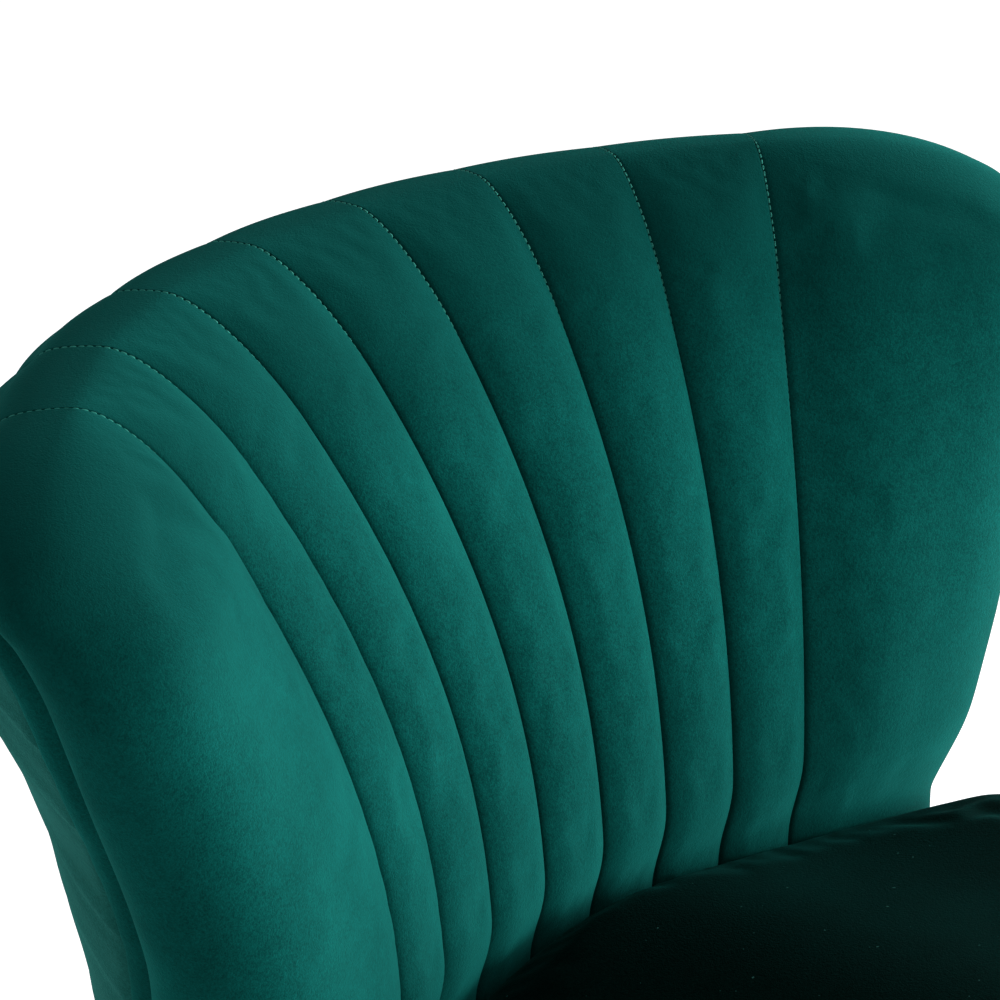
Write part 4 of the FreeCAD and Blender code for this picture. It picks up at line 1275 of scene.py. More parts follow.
@dataclass
class ChannelledBack:
    """The seven stuffed channels and the two plain wings of the inside of the back."""

    form: BackForm
    shop: Workshop
    strip_rows: int = 46
    roll_rows: int = 24
    fullness: float = 1.1
    profile_power: float = 3.0
    lip: float = 0.0022
    near_seam: tuple[float, ...] = (0.0, 0.0005, 0.0012, 0.0026, 0.0055)
    across: int = 9
    wing_columns: int = 12
    peak_share: float = 0.45
    peak_clear: float = 0.001
    egg_steps: int = 20
    egg_power: float = 2.45
    nose_steps: int = 14
    groove: float = 0.0046
    roll_groove: float = 0.0020
    groove_fade: tuple[float, float] = (0.35, 0.8)
    groove_width: float = 0.006
    flange: Triple = (0.0042, 0.0046, 0.0058)
    close_from: float = 0.75
    merge_rows: tuple[float, float] = (0.1, 0.6)
    dent: float = 0.0038
    dent_level: float = 0.7475
    dent_fall: float = 0.026
    dent_width: float = 0.0075
    count: int = 7
    fill: float = 0.85
    strip_low: float = 0.400
    wing_low: Triple = (BASE, 0.33, 0.39)
    wing_strip_low: float = 0.425
    nose_closing: float = 0.998
    groove_rise: float = 0.04
    dent_start: tuple[float, float] = (0.2, 0.5)
    dent_end: tuple[float, float] = (1.0, 0.2)
    channel_loose: tuple[float, float] = (0.445, 0.010)
    wing_loose: tuple[float, float] = (0.455, 0.016)
    wing_loose_end: tuple[float, float] = (0.55, 0.5)
    stitch_rows: int = 60
    stitch_turns: int = 24
    stitch_from: float = 0.470
    stitch_depth: float = 0.0008
    stitch_rise: float = 0.30
    stitch_sink: float = 0.0012
    stitch_shown: float = 0.725
    stitch_run: float = 0.05
    stitch_pitch: float = 0.0036
    stitch: tuple[float, float, float, float] = (0.0027, 0.0009, 0.0007, 0.0003)
    roll_hold: float = 0.25
    stuffing: Stuffing = Stuffing(pressure=4.0, cap=0.0025, slack=0.006)

    def rows(self, strip: np.ndarray) -> tuple[np.ndarray, ...]:
        """The rows of a pad: those of its strip and those of its roll.

        Args:
            strip: levels of the strip's rows.

        Returns:
            All levels, whether each lies in the roll, and the sine and cosine of the roll's angle there.
        """
        sines = np.sin(np.linspace(0, QUARTER, self.roll_rows))
        levels = np.concatenate([strip, self.form.roll_base + self.form.roll_rise * sines])
        rolled = np.arange(len(levels)) >= len(strip)
        sine = np.concatenate([0 * strip, sines])
        return levels, rolled, sine, np.sqrt(1 - sine**2)

    def channel(self, number: int) -> bpy.types.Object:
        """Makes one channel: a strip up the face and its roll over the top.

        Args:
            number: its number, from 1 beside the left wing to 7 beside the right one.

        Returns:
            The channel's object.
        """
        form = self.form
        channel = number - (self.count + 1) // 2
        strip_levels = np.linspace(self.strip_low, form.roll_base, self.strip_rows)
        levels, rolled, sine, cosine = self.rows(strip_levels)
        roll_front, roll_rear = form.roll_depths(levels, form.top, float(form.shell(form.roll_base)))
        front = np.where(rolled, roll_front, form.tuck(levels))
        rear = np.where(rolled, roll_rear, form.pad_rear)
        trim = GAP / 2 + form.seam_notch * sine**form.notch_power
        half = form.width(levels) / 2 - trim
        side = spaced(2 * half, self.near_seam, self.across) - half[:, None]
        share = np.abs(side) / half[:, None]
        puff = (form.puff(levels) * cosine * self.fullness)[:, None]
        fall = lipped(half[:, None] - np.abs(side), self.lip) * np.maximum(cosine, LEAST_ROUNDING)[:, None]
        middle = (channel * form.width(levels))[:, None]
        front_depth = front[:, None] - puff * (1 - share**self.profile_power) + fall
        face = form.channel_point(levels[:, None], front_depth, middle + side)
        rear_bulge = (rolled * cosine)[:, None] * form.puff(levels)[:, None] / 2 * (1 - share**2)
        rear_fall = fall * rolled[:, None]
        back = form.channel_point(levels[:, None], rear[:, None] + rear_bulge - rear_fall, middle + side)
        rings = closed_rings(face, back)
        columns = face.shape[1]
        held = np.ones(rings.shape[:2])
        loose_level, loose_run = self.channel_loose
        loose = eased((half[:, None] - np.abs(side)) / loose_run) * (levels > loose_level)[:, None]
        loose = loose * (self.roll_hold + (1 - self.roll_hold) * cosine)[:, None]
        held[:, :columns] = 1 - loose
        mesh = Mesh()
        first = mesh.rings(rings, held)
        mesh.cap(first, rings.shape[1], True)
        return mesh.finish(f"channel_{number}")

    def wing(self, hand: str) -> bpy.types.Object:
        """Makes one wing: its face, its nose with a hook behind it, and its roll over the top.

        Args:
            hand: "right" or "left".

        Returns:
            The wing's object.
        """
        form = self.form
        upper_strip = np.linspace(self.wing_strip_low, form.roll_base, self.strip_rows)
        strip_levels = np.concatenate([self.wing_low, upper_strip])
        levels, rolled, sine, cosine = self.rows(strip_levels)
        edge = form.crease(levels)
        tip = form.wing_reach(levels)
        seam_front, seam_rear = form.roll_depths(levels, form.top, float(form.shell(form.roll_base)))
        base_edge = form.crease(form.roll_base)
        edge_shell, middle_shell = (form.shell_at(form.roll_base, base_edge / part) for part in (1, 2))
        nose_front, nose_rear = form.roll_depths(
            levels, form.wing_crest(levels, edge), float(edge_shell), 0.0, self.nose_closing
        )
        _, middle_rear = form.roll_depths(
            levels, form.wing_crest(levels, edge / 2), middle_shell, 0.5, self.nose_closing
        )
        nose_rear = np.maximum(nose_rear, nose_front + form.nose_least)
        seam_front = np.where(rolled, seam_front, form.tuck(levels))
        nose_front = np.where(rolled, nose_front, form.tuck(levels))
        nose_rear = np.where(rolled, nose_rear, form.shell_at(levels, edge))
        bulge = form.wing_puff(levels) * cosine
        middle_front = (seam_front + nose_front) / 2 - bulge
        start = GAP / 2
        near = start + np.asarray(self.near_seam)
        peak = np.maximum(start + self.peak_share * (edge - start), near[-1] + self.peak_clear)
        shares = (np.arange(self.wing_columns) + 1) / self.wing_columns
        along = np.hstack([near[None, :] + 0 * edge[:, None], near[-1] + (peak - near[-1])[:, None] * shares])
        rise = 1 - (along - start) / (peak - start)[:, None]
        depth = middle_front[:, None] + (seam_front - middle_front)[:, None] * rise**2
        depth = depth + lipped(along - start, self.lip) * np.maximum(cosine, LEAST_ROUNDING)[:, None]
        turn = np.linspace(0, QUARTER, self.egg_steps + 1)[None, 1:]
        nose_middle = ((nose_front + nose_rear) / 2)[:, None]
        egg_along = peak[:, None] + (tip - peak)[:, None] * np.sin(turn) ** (2 / self.egg_power)
        egg_depth = nose_middle - (nose_middle - middle_front[:, None]) * np.cos(turn) ** (2 / self.egg_power)
        front_along = np.hstack([along, egg_along])
        front_depth = np.hstack([depth, egg_depth])
        turn = np.linspace(0, QUARTER, self.nose_steps + 1)[None, 1:]
        nose_along = edge[:, None] + (tip - edge)[:, None] * np.cos(turn)
        nose_round = nose_middle + (nose_rear[:, None] - nose_middle) * np.sin(turn)
        deepening = eased((form.roll_base - levels) / self.groove_rise)
        below = between(self.roll_groove, self.groove, deepening)
        groove = np.where(rolled, self.roll_groove * (1 - eased_over(sine, self.groove_fade)), below)
        nose_depth = nose_round - lipped(nose_along - edge[:, None], groove[:, None] + LEAST_RADIUS)
        inner_depth = np.where(rolled, nose_rear - groove, form.pad_rear)
        flange, first_depth, last_depth = np.where(rolled, 0.0, np.array(self.flange)[:, None])
        hook_along = np.stack([edge - flange, edge - flange, edge, edge], axis=1)
        upper, lower = (nose_rear - np.where(rolled, groove, sunk) for sunk in (first_depth, last_depth))
        hook_depth = np.stack([upper, lower, lower, inner_depth], axis=1)
        rear_count = front_along.shape[1] - self.nose_steps - hook_along.shape[1]
        rear_share = np.linspace(1, 0, rear_count)[None, 1:]
        rear_along = start + (edge - start)[:, None] * rear_share
        plain_rear = bowed(seam_rear[:, None], middle_rear[:, None], nose_rear[:, None], rear_share)
        beside = hump((edge - start)[:, None] * (1 - rear_share), self.groove_width)
        rear_depth = np.where(rolled[:, None], plain_rear - groove[:, None] * beside, form.pad_rear)
        back_along = np.hstack([nose_along, hook_along, rear_along])
        back_depths = np.hstack([nose_depth, hook_depth, rear_depth])
        closing = eased((sine - self.close_from) / (1 - self.close_from))[:, None]
        back_along = back_along + (front_along[:, -2::-1] - back_along) * closing
        base_row = len(strip_levels)
        base_tip = tip[base_row : base_row + 1]
        base_rear_along = np.concatenate([rear_along[base_row, ::-1], nose_along[base_row, ::-1], base_tip])
        base_rear = np.concatenate(
            [plain_rear[base_row, ::-1], nose_round[base_row, ::-1], nose_middle[base_row]]
        )
        base_front = np.interp(front_along, front_along[base_row], front_depth[base_row])
        rear_there = np.interp(front_along, base_rear_along, base_rear)
        rolled_front = form.wing_roll(levels[:, None], front_along, base_front, rear_there)[0]
        front_there = np.interp(back_along, front_along[base_row], front_depth[base_row])
        base_back = np.interp(back_along, base_rear_along, base_rear)
        beside_edge = hump(back_along - edge[:, None], self.groove_width)
        rolled_back = form.wing_roll(levels[:, None], back_along, front_there, base_back)[1]
        rolled_back = rolled_back - groove[:, None] * beside_edge
        merging = eased_over(sine, self.merge_rows)[:, None]
        front_depth = front_depth + (rolled_front - front_depth) * merging
        back_depths = back_depths + (rolled_back - back_depths) * merging
        share = (front_along - start) / (edge - start)[:, None]
        dip = hump(levels[:, None] - self.dent_level + self.dent_fall * share, self.dent_width)
        dip = self.dent * dip * eased_from(share, *self.dent_start) * (1 - eased_from(share, *self.dent_end))
        front_depth = front_depth + dip
        face = form.wing_point(levels[:, None], front_along, front_depth)
        back = form.wing_point(levels[:, None], back_along, back_depths)
        ring_start = np.concatenate([face, back], axis=1)
        first_point, last_point = ring_start[:, :1], ring_start[:, -1:]
        walls = last_point + (first_point - last_point) * np.linspace(0, 1, 4)[1:-1][None, :, None]
        rings = np.concatenate([ring_start, walls], axis=1)
        held = np.ones(rings.shape[:2])
        columns = front_along.shape[1]
        loose_level, loose_run = self.wing_loose
        loose = eased((front_along - start) / loose_run) * (1 - eased_from(share, *self.wing_loose_end))
        loose = loose * (self.roll_hold + (1 - self.roll_hold) * cosine)[:, None]
        held[:, :columns] = 1 - loose * (levels > loose_level)[:, None]
        if hand == "left":
            rings = rings * MIRROR
        mesh = Mesh()
        first = mesh.rings(rings, held)
        mesh.cap(first, rings.shape[1], True)
        top = first + (len(levels) - 1) * rings.shape[1]
        last = ring_start.shape[1] - 1
        mesh.ladder(range(top, top + columns), range(top + last, top + last - columns, -1))
        return mesh.finish(f"wing_{hand}")

    def seam_path(self, place: float) -> tuple[np.ndarray, np.ndarray]:
        """The bottom of a seam, up the face and over the roll, and the way out of it at each point.

        Args:
            place: the seam's place, counted in channels from the middle.

        Returns:
            The points and their lifts.
        """
        form = self.form
        strip = np.linspace(self.stitch_from, form.roll_base, self.stitch_rows)[:-1]
        turn = np.linspace(0, QUARTER, self.stitch_turns)
        rolled = form.roll_base + form.roll_rise * np.sin(turn)
        front, rear = form.roll_depths(rolled, form.top, float(form.shell(form.roll_base)))
        levels = np.concatenate([strip, rolled, rolled[::-1][1:]])
        depths = np.concatenate([form.tuck(strip), front, rear[::-1][1:]])
        cosine = np.concatenate([0 * strip + 1, np.cos(turn), np.cos(turn)[::-1][1:]])
        width = form.width(levels)
        points = form.channel_point(levels, depths, place * width)
        beside = form.channel_point(levels, depths, place * width + SLOPE_STEP) - points
        lift = np.cross(beside, np.gradient(points, axis=0))
        lift /= np.linalg.norm(lift, axis=1)[:, None]
        sunk = self.stitch_depth * np.maximum(cosine, self.stitch_rise)
        sunk = sunk + self.stitch_sink * eased((self.stitch_shown - levels) / self.stitch_run)
        return points - lift * sunk[:, None], lift

    def stitches(self) -> None:
        """Sews the seams between the channels."""
        places = np.arange(self.count + 1) - self.form.half_count
        paths, lifts = zip(*[self.seam_path(place) for place in places])
        stitch = small_bar("stitch", *self.stitch)
        thread = self.shop.finishes["thread"]
        sewn = Trail(self.stitch_pitch).lay("back_stitches", stitch, paths, lifts, thread)
        self.shop.hand_over(sewn, "thread", "velvet")

    def build(self) -> None:
        """Makes, fills, dresses and sews all channels and wings."""
        numbers = range(1, self.count + 1)
        channels = [self.channel(number) for number in numbers]
        wings = [self.wing(hand) for hand in HANDS]
        self.stuffing.fill(channels + wings)
        nodes = [f"channel_pad_{number}" for number in numbers]
        nodes += [f"wing_pad_{hand}" for hand in HANDS]
        for node, piece in zip(nodes, channels + wings):
            subdivide(piece)
            self.shop.hand_over(piece, "velvet", "velvet", [node], self.fill)
        self.stitches()


def closed_rings(face: np.ndarray, back: np.ndarray, walls: int = 2) -> np.ndarray:
    """Rings that run along a face and back along its rear, with a few points down each side wall.

    Args:
        face: rows of points along the face.
        back: rows of points along the rear.
        walls: points down each side wall.

    Returns:
        One closed ring a row.
    """
    share = np.linspace(0, 1, walls + 2)[1:-1][None, :, None]
    right = face[:, -1:] + (back[:, -1:] - face[:, -1:]) * share
    left = back[:, :1] + (face[:, :1] - back[:, :1]) * share
    return np.concatenate([face, right, back[:, ::-1], left], axis=1)


@dataclass
class OuterBack:
    """The outer cover round the back and the narrow welt strips beside the wings' noses."""

    form: BackForm
    shop: Workshop
    thickness: float = 0.004
    strip_width: float = 0.0092
    seam_gap: float = 0.0001
    strip_crown: float = 0.0030
    gutter: float = 0.0012
    slot: float = 0.0032
    strip_power: float = 0.8
    strip_sunk: float = 0.0008
    strip_columns: int = 11
    strip_wave: float = 0.0003
    wave_lengths: tuple[float, float] = (0.023, 0.091)
    edge_radius: float = 0.0018
    edge_clear: float = 0.006
    near_edge: tuple[float, ...] = (0.0, 0.0005, 0.0012, 0.0025)
    near_seam: tuple[float, ...] = (0.0, 0.0006, 0.0014, 0.003)
    channel_columns: int = 20
    wing_columns: int = 30
    rows: int = 90
    pucker_depth: float = 0.0030
    pucker_start: float = 0.013
    pucker_slope: float = 1.5
    pucker_width: float = 0.0035
    pucker_spread: float = 0.05
    hollow_share: float = 0.6
    hollow_offset: float = 1.9
    folds: tuple[Triple, ...] = (
        (0.640, 1.0, 0.030), (0.600, 1.2, 0.034), (0.545, 1.0, 0.034), (0.505, 0.6, 0.030),
        (0.450, 0.7, 0.030), (0.395, 0.5, 0.028), (0.340, 0.4, 0.024),
    )
    cover_fill: float = 0.3
    strip_fill: float = 0.6
    fuller: float = 0.009
    fuller_levels: tuple[float, float] = (0.535, 0.625)

    def levels(self) -> np.ndarray:
        """Levels of the rows, crowded at the top and bottom edges."""
        return crowded(BASE, self.form.roll_base - GAP / 2, self.near_edge, self.edge_clear, self.rows)

    def puckers(self, level: np.ndarray, share: np.ndarray, reach: np.ndarray) -> np.ndarray:
        """Depth of the pull wrinkles that run down and back from the strip's seam.

        Args:
            level: height above the floor.
            share: share of the way from the seam to the crease.
            reach: arc length of that way.

        Returns:
            How far the cover stands out.
        """
        distance = (1 - share) * reach
        total = np.zeros(np.broadcast(level, share).shape)
        for start, strength, length in self.folds:
            path = start + self.pucker_slope * distance
            width = self.pucker_width + self.pucker_spread * distance
            hollow = hump(level - path + self.hollow_offset * width, width)
            ridge = hump(level - path, width) - self.hollow_share * hollow
            total = total + strength * ridge * hump(distance, length)
        return total * self.pucker_depth * eased(distance / self.pucker_start)

    def cover(self) -> bpy.types.Object:
        """Makes the outer cover.

        Returns:
            The cover's object.
        """
        form = self.form
        levels = self.levels()[:, None]
        reach = form.crease(levels)
        end_share = 1 - (self.strip_width + 2 * self.seam_gap) / reach
        near = np.array(self.near_seam)
        channels = np.linspace(0, form.half_count, self.channel_columns)[None, :-1]
        inner_shares = np.linspace(0, 1, self.wing_columns)[None, :]
        last = end_share * reach
        wing_along = np.hstack([(last - self.edge_clear) * inner_shares, last - near[None, ::-1]])
        share = wing_along / reach
        top_distance = (form.roll_base - GAP) - levels
        rounding = lipped(np.minimum(top_distance, levels - BASE), self.edge_radius)
        wing_shell = form.shell_at(levels, wing_along)
        wing_depth = wing_shell - lipped(last - wing_along, self.edge_radius) - rounding
        fuller = self.fuller * (1 - eased_over(levels, self.fuller_levels)) * 4 * share * (1 - share)
        wing_depth = wing_depth + self.puckers(levels, share, reach) + fuller
        sideways = channels * form.width(levels)
        middle, middle_in = (form.channel_point(levels, form.shell(levels) - sunk, sideways)
                             for sunk in (rounding, self.thickness))
        wing = form.wing_point(levels, wing_along, wing_depth)
        wing_in = form.wing_point(levels, wing_along, wing_shell - self.thickness)
        right = np.concatenate([middle, wing], axis=1)
        right_in = np.concatenate([middle_in, wing_in], axis=1)
        outer = np.concatenate([(right * MIRROR)[:, ::-1][:, :-1], right], axis=1)
        inner = np.concatenate([(right_in * MIRROR)[:, ::-1][:, :-1], right_in], axis=1)
        rings = closed_rings(outer, inner, 1)
        mesh = Mesh()
        first = mesh.rings(rings)
        columns = outer.shape[1]
        for start in (first, first + (len(levels) - 1) * rings.shape[1]):
            end = start + columns
            mesh.ladder(range(start, end), range(end + columns, end, -1))
            mesh.faces.append((start, end + columns, end + columns + 1))
            mesh.faces.append((end - 1, end, end + 1))
        return mesh.finish("back_cover")

    def strip(self, hand: str) -> bpy.types.Object:
        """Makes one welt strip with a raised middle and a stitched lip.

        Args:
            hand: "right" or "left".

        Returns:
            The strip's object.
        """
        form = self.form
        levels = self.levels()[:, None]
        near = form.crease(levels) - self.slot
        share = np.linspace(0, 1, self.strip_columns)[None, :]
        width = self.strip_width + self.seam_gap - self.slot
        along = near - width * share
        outside = form.shell_at(levels, along)
        arched = np.sqrt(np.clip(1 - (2 * share - 1) ** 2, 0, 1)) ** self.strip_power
        crown = self.strip_crown * arched - self.strip_sunk - lipped(width * share, self.gutter)
        short, long = self.wave_lengths
        wave = self.strip_wave * np.sin(levels * 2 * np.pi / short) * np.sin(levels * 2 * np.pi / long + 1)
        face = form.wing_point(levels, along, outside + crown + wave)
        back = form.wing_point(levels, along, outside - self.thickness)
        rings = closed_rings(face, back, 1)
        if hand == "left":
            rings = rings * MIRROR
        mesh = Mesh()
        first = mesh.rings(rings)
        size = rings.shape[1]
        mesh.cap(first, size, True)
        mesh.cap(first + (len(levels) - 1) * size, size)
        return mesh.finish(f"welt_strip_{hand}")

    def build(self) -> None:
        """Makes and dresses the cover and the strips."""
        # The cover takes the lighter copy of the velvet, with painted light.
        self.shop.hand_over(self.cover(), "outer_velvet_painted_light", "velvet", ["outer_cover"], self.cover_fill)
        for hand in HANDS:
            strip = self.strip(hand)
            self.shop.hand_over(strip, "velvet", "velvet", [f"edge_strip_{hand}"], self.strip_fill)


def outline_of(node: str, level: float, count: int, tolerance: float = 2e-4) -> np.ndarray:
    """The plan outline of a node at a level, as evenly spaced points.

    Args:
        node: the node's name.
        level: height of the outline.
        count: number of points.
        tolerance: how far off the level a point may lie.

    Returns:
        Rows of x and y, anticlockwise.
    """
    points = coordinates(frame["nodes"][node].data)
    ring = points[np.abs(points[:, 2] - level) < tolerance][:, :2]
    middle = np.array([0.0, (ring[:, 1].min() + ring[:, 1].max()) / 2])
    offset = ring - middle
    angle = np.arctan2(offset[:, 1], offset[:, 0])
    distance = np.hypot(offset[:, 0], offset[:, 1])
    order = np.argsort(angle)
    angle, distance, ring = angle[order], distance[order], ring[order]
    keep = [0]
    for index in range(1, len(ring)):
        if angle[index] - angle[keep[-1]] > 1e-5:
            keep.append(index)
        elif distance[index] > distance[keep[-1]]:
            keep[-1] = index
    ring = ring[keep]
    loop = np.vstack([ring, ring[:1]])
    steps = np.hypot(*np.diff(loop, axis=0).T)
    run = np.concatenate([[0], np.cumsum(steps)])
    wanted = np.linspace(0, run[-1], count, endpoint=False)
    return np.stack([np.interp(wanted, run, loop[:, 0]), np.interp(wanted, run, loop[:, 1])], axis=1)


def at_level(plan: np.ndarray, level: float) -> np.ndarray:
    """Plan points with a height."""
    return np.column_stack([plan, np.full(len(plan), level)])


def inwards(outline: np.ndarray, inset: float, rounds: int = 2) -> np.ndarray:
    """The outline drawn in by an inset along its own smoothed normals.

    Args:
        outline: rows of x and y.
        inset: how far it is drawn in.
        rounds: how often its tangents are smoothed.

    Returns:
        Rows of x and y.
    """
    tangent = np.roll(outline, -1, axis=0) - np.roll(outline, 1, axis=0)
    for _ in range(rounds):
        tangent = (np.roll(tangent, 1, axis=0) + 2 * tangent + np.roll(tangent, -1, axis=0)) / 4
    tangent /= np.linalg.norm(tangent, axis=1)[:, None]
    normal = np.stack([-tangent[:, 1], tangent[:, 0]], axis=1)
    return outline + normal * inset


def edge_distance(points: np.ndarray, outline: np.ndarray) -> np.ndarray:
    """Distance of each point from an outline.

    Args:
        points: rows of x and y.
        outline: rows of x and y.

    Returns:
        One distance a point.
    """
    first, last = outline, np.roll(outline, -1, axis=0)
    along = last - first
    length = (along**2).sum(axis=1)
    offset = points[:, None, :] - first[None, :, :]
    share = np.clip((offset * along[None]).sum(axis=2) / length[None], 0, 1)
    nearest = first[None] + along[None] * share[..., None]
    return np.linalg.norm(points[:, None, :] - nearest, axis=2).min(axis=1)


@dataclass
class Seat:
    """The crowned seat top, its welt and the band round the frame."""

    shop: Workshop
    edge: float = 0.434
    shoulder: float = 0.034
    shoulder_rise: float = 0.0185
    shoulder_power: float = 2.2
    side_share: float = 0.55
    middle_share: float = 1.10
    dome_width: float = 0.11
    crown: float = 0.007
    crown_reach: float = 0.20
    count: int = 260
    half_size: float = 0.24
    near_edge: tuple[float, ...] = (0.0, 0.0012, 0.003, 0.0055)
    inner_rings: int = 44
    inner_start: float = 0.009
    last_share: float = 0.03
    loose_run: float = 0.03
    band: float = 0.003
    band_bulge: float = 0.0016
    band_radius: float = 0.0018
    band_rows: int = 24
    band_clear: float = 0.008
    near_band: tuple[float, ...] = (0.0, 0.0006, 0.0014, 0.003)
    top_fill: float = 0.8
    band_fill: float = 0.3
    stuffing: Stuffing = Stuffing(pressure=3.0, cap=0.006, slack=0.015)

    def top(self) -> bpy.types.Object:
        """Makes the seat top as rings that draw in to its middle.

        Returns:
            The cushion's object.
        """
        outline = outline_of("seat_top", self.edge, self.count)
        middle = np.array([0.0, float(outline[:, 1].mean())])
        near = np.array(self.near_edge)
        inner = np.linspace(1 - self.inner_start / self.half_size, self.last_share, self.inner_rings)
        shares = np.concatenate([1 - near / self.half_size, inner])
        plan = middle + (outline - middle)[None] * shares[:, None, None]
        flat = plan.reshape(-1, 2)
        distance = edge_distance(flat, outline).reshape(plan.shape[:2])
        rounded = 1 - np.clip(distance / self.shoulder, 0, 1)
        dome = self.side_share + self.middle_share * hump(plan[..., 0], self.dome_width)
        rise = self.shoulder_rise * dome * (1 - rounded**self.shoulder_power) ** (1 / self.shoulder_power)
        rise = rise + self.crown * eased(distance / self.crown_reach)
        upper = np.concatenate([plan, (self.edge + rise)[..., None]], axis=2)
        lower = np.concatenate([plan, np.full(plan.shape[:2] + (1,), self.edge)], axis=2)
        mesh = Mesh()
        first = mesh.rings(upper, 1 - eased(distance / self.loose_run))
        under = mesh.rings(lower)
        for start in (first, under):
            last = start + (len(shares) - 1) * self.count
            steps = range(self.count // 2 + 1)
            mesh.ladder([last + step for step in steps], [last + -step % self.count for step in steps])
        return mesh.finish("seat_cushion")

    def side(self) -> bpy.types.Object:
        """Makes the band round the seat frame.

        Returns:
            The band's object.
        """
        outline = outline_of("seat_top", self.edge, self.count)
        top = self.edge - GAP
        levels = crowded(BASE, top, self.near_band, self.band_clear, self.band_rows)
        share = (levels - BASE) / (top - BASE)
        fall = lipped(np.minimum(levels - BASE, top - levels), self.band_radius)
        insets = fall - self.band_bulge * np.sin(np.pi * share)
        outer = [at_level(inwards(outline, float(inset)), level) for inset, level in zip(insets, levels)]
        inner = [at_level(inwards(outline, self.band), level) for level in levels[::-1]]
        rings = np.array(outer + inner + outer[:1])
        mesh = Mesh()
        mesh.rings(rings)
        return mesh.finish("seat_border")

    def build(self) -> None:
        """Makes and dresses the seat's soft pieces."""
        top = self.top()
        self.stuffing.fill([top])
        subdivide(top)
        # The seat top takes the copy of the velvet with painted shade.
        self.shop.hand_over(top, "seat_velvet_painted_shade", "velvet", ["seat_top"], self.top_fill)
        # The band takes the lighter copy of the velvet, with painted light.
        self.shop.hand_over(self.side(), "outer_velvet_painted_light", "velvet", ["seat_band"], self.band_fill)


@dataclass
class InnerSoft:
    """Foam, felt and lining inside and under the chair."""

    shop: Workshop
    voxel: float = 0.004
    seat_voxel: float = 0.008
    foam_fill: float = 0.9
    merge: float = 1e-6
    foams: tuple[str, ...] = ("seat_foam", "back_foam", "wing_foam_left", "wing_foam_right")
    lining_sag: float = 0.004
    sag_share: float = 0.8
    grid_start: float = 0.012
    grid_step: float = 0.016
    staple_inset: float = 0.006
    staple_pitch: float = 0.030
    staple_margin: float = 0.008
    staple_lift: float = 0.0002
    outline_points: int = 500
    least_run: int = 3
    staple: tuple[float, float, float, float] = (0.010, 0.0012, 0.0006, 0.0003)

    def copy(self, node: str, name: str) -> bpy.types.Object:
        """A merged copy of a node's mesh as a new object.

        Args:
            node: the node.
            name: the new object's name.

        Returns:
            The object.
        """
        piece = in_scene(name, frame["nodes"][node].data.copy())
        tidy(piece, False, self.merge)
        return piece

    def foam(self, node: str) -> bpy.types.Object:
        """Makes a foam piece with slightly soft edges.

        Args:
            node: the node that it stands for.

        Returns:
            The foam's object.
        """
        piece = self.copy(node, f"{node}_block")
        remesh = piece.modifiers.new("cells", "REMESH")
        remesh.mode = "VOXEL"
        remesh.voxel_size = self.seat_voxel if node == "seat_foam" else self.voxel
        remesh.use_smooth_shade = True
        settle(piece)
        return piece

    def sheet(
        self, node: str, name: str, sag: float, finish: str
    ) -> None:
        """Makes a thin sheet from a node, cut into a fine grid and let down in the middle.

        Args:
            node: the node that it stands for.
            name: the sheet's name.
            sag: how far its middle hangs down.
            finish: the finish's name, which is the slot's too.
        """
        piece = self.copy(node, name)
        work = bmesh.new()
        work.from_mesh(piece.data)
        low, high = (np.array(corner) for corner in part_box(node))
        for axis in (0, 1):
            for place in np.arange(low[axis] + self.grid_start, high[axis], self.grid_step):
                centre, normal = Vector((0, 0, 0)), Vector((0, 0, 0))
                centre[axis], normal[axis] = place, 1.0
                geometry = work.verts[:] + work.edges[:] + work.faces[:]
                bmesh.ops.bisect_plane(work, geom=geometry, plane_co=centre, plane_no=normal)
        middle = (low + high) / 2
        size = (high - low) / 2
        for point in work.verts:
            across, along = (
                1 - min(1.0, abs(point.co[axis] - middle[axis]) / (size[axis] * self.sag_share)) ** 2
                for axis in (0, 1)
            )
            point.co.z -= sag * across * along
        work.to_mesh(piece.data)
        work.free()
        self.shop.hand_over(piece, finish, finish, [node])
        area = sum(face.area for face in piece.data.polygons) / 2
        width, length = 2 * size[0], 2 * size[1]
        area = min(area, width * length)

    def staples(self) -> None:
        """Staples the lining to the frame, clear of the leg plates."""
        level = float(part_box("dust_cover")[0][2])
        outline = inwards(outline_of("dust_cover", level, self.outline_points), self.staple_inset)
        clear = np.ones(len(outline), bool)
        margin = self.staple_margin
        for node in frame["nodes"]:
            if node.startswith("leg_plate"):
                low, high = (np.array(corner)[:2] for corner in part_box(node))
                clear &= ~np.all((outline > low - margin) & (outline < high + margin), axis=1)
        start = int(np.argmin(clear))
        outline, clear = np.roll(outline, -start, axis=0), np.roll(clear, -start)
        runs = np.split(np.arange(len(outline)), np.flatnonzero(np.diff(clear.astype(int))) + 1)
        runs = [run for run in runs if clear[run[0]] and len(run) > self.least_run]
        paths = [at_level(outline[run], level - self.staple_lift) for run in runs]
        lifts = [np.tile([0.0, 0.0, -1.0], (len(path), 1)) for path in paths]
        bar = small_bar("staple", *self.staple)
        zinc = self.shop.finishes["zinc"]
        stapled = Trail(self.staple_pitch).lay("lining_staples", bar, paths, lifts, zinc)
        self.shop.hand_over(stapled, "zinc", "zinc")

    def build(self) -> None:
        """Makes and dresses the inner soft pieces."""
        for node in self.foams:
            self.shop.hand_over(self.foam(node), "foam", "foam", [node], self.foam_fill)
        self.sheet("seat_deck", "spring_felt", 0.0, "felt")
        self.sheet("dust_cover", "under_lining", self.lining_sag, "lining")
        self.staples()


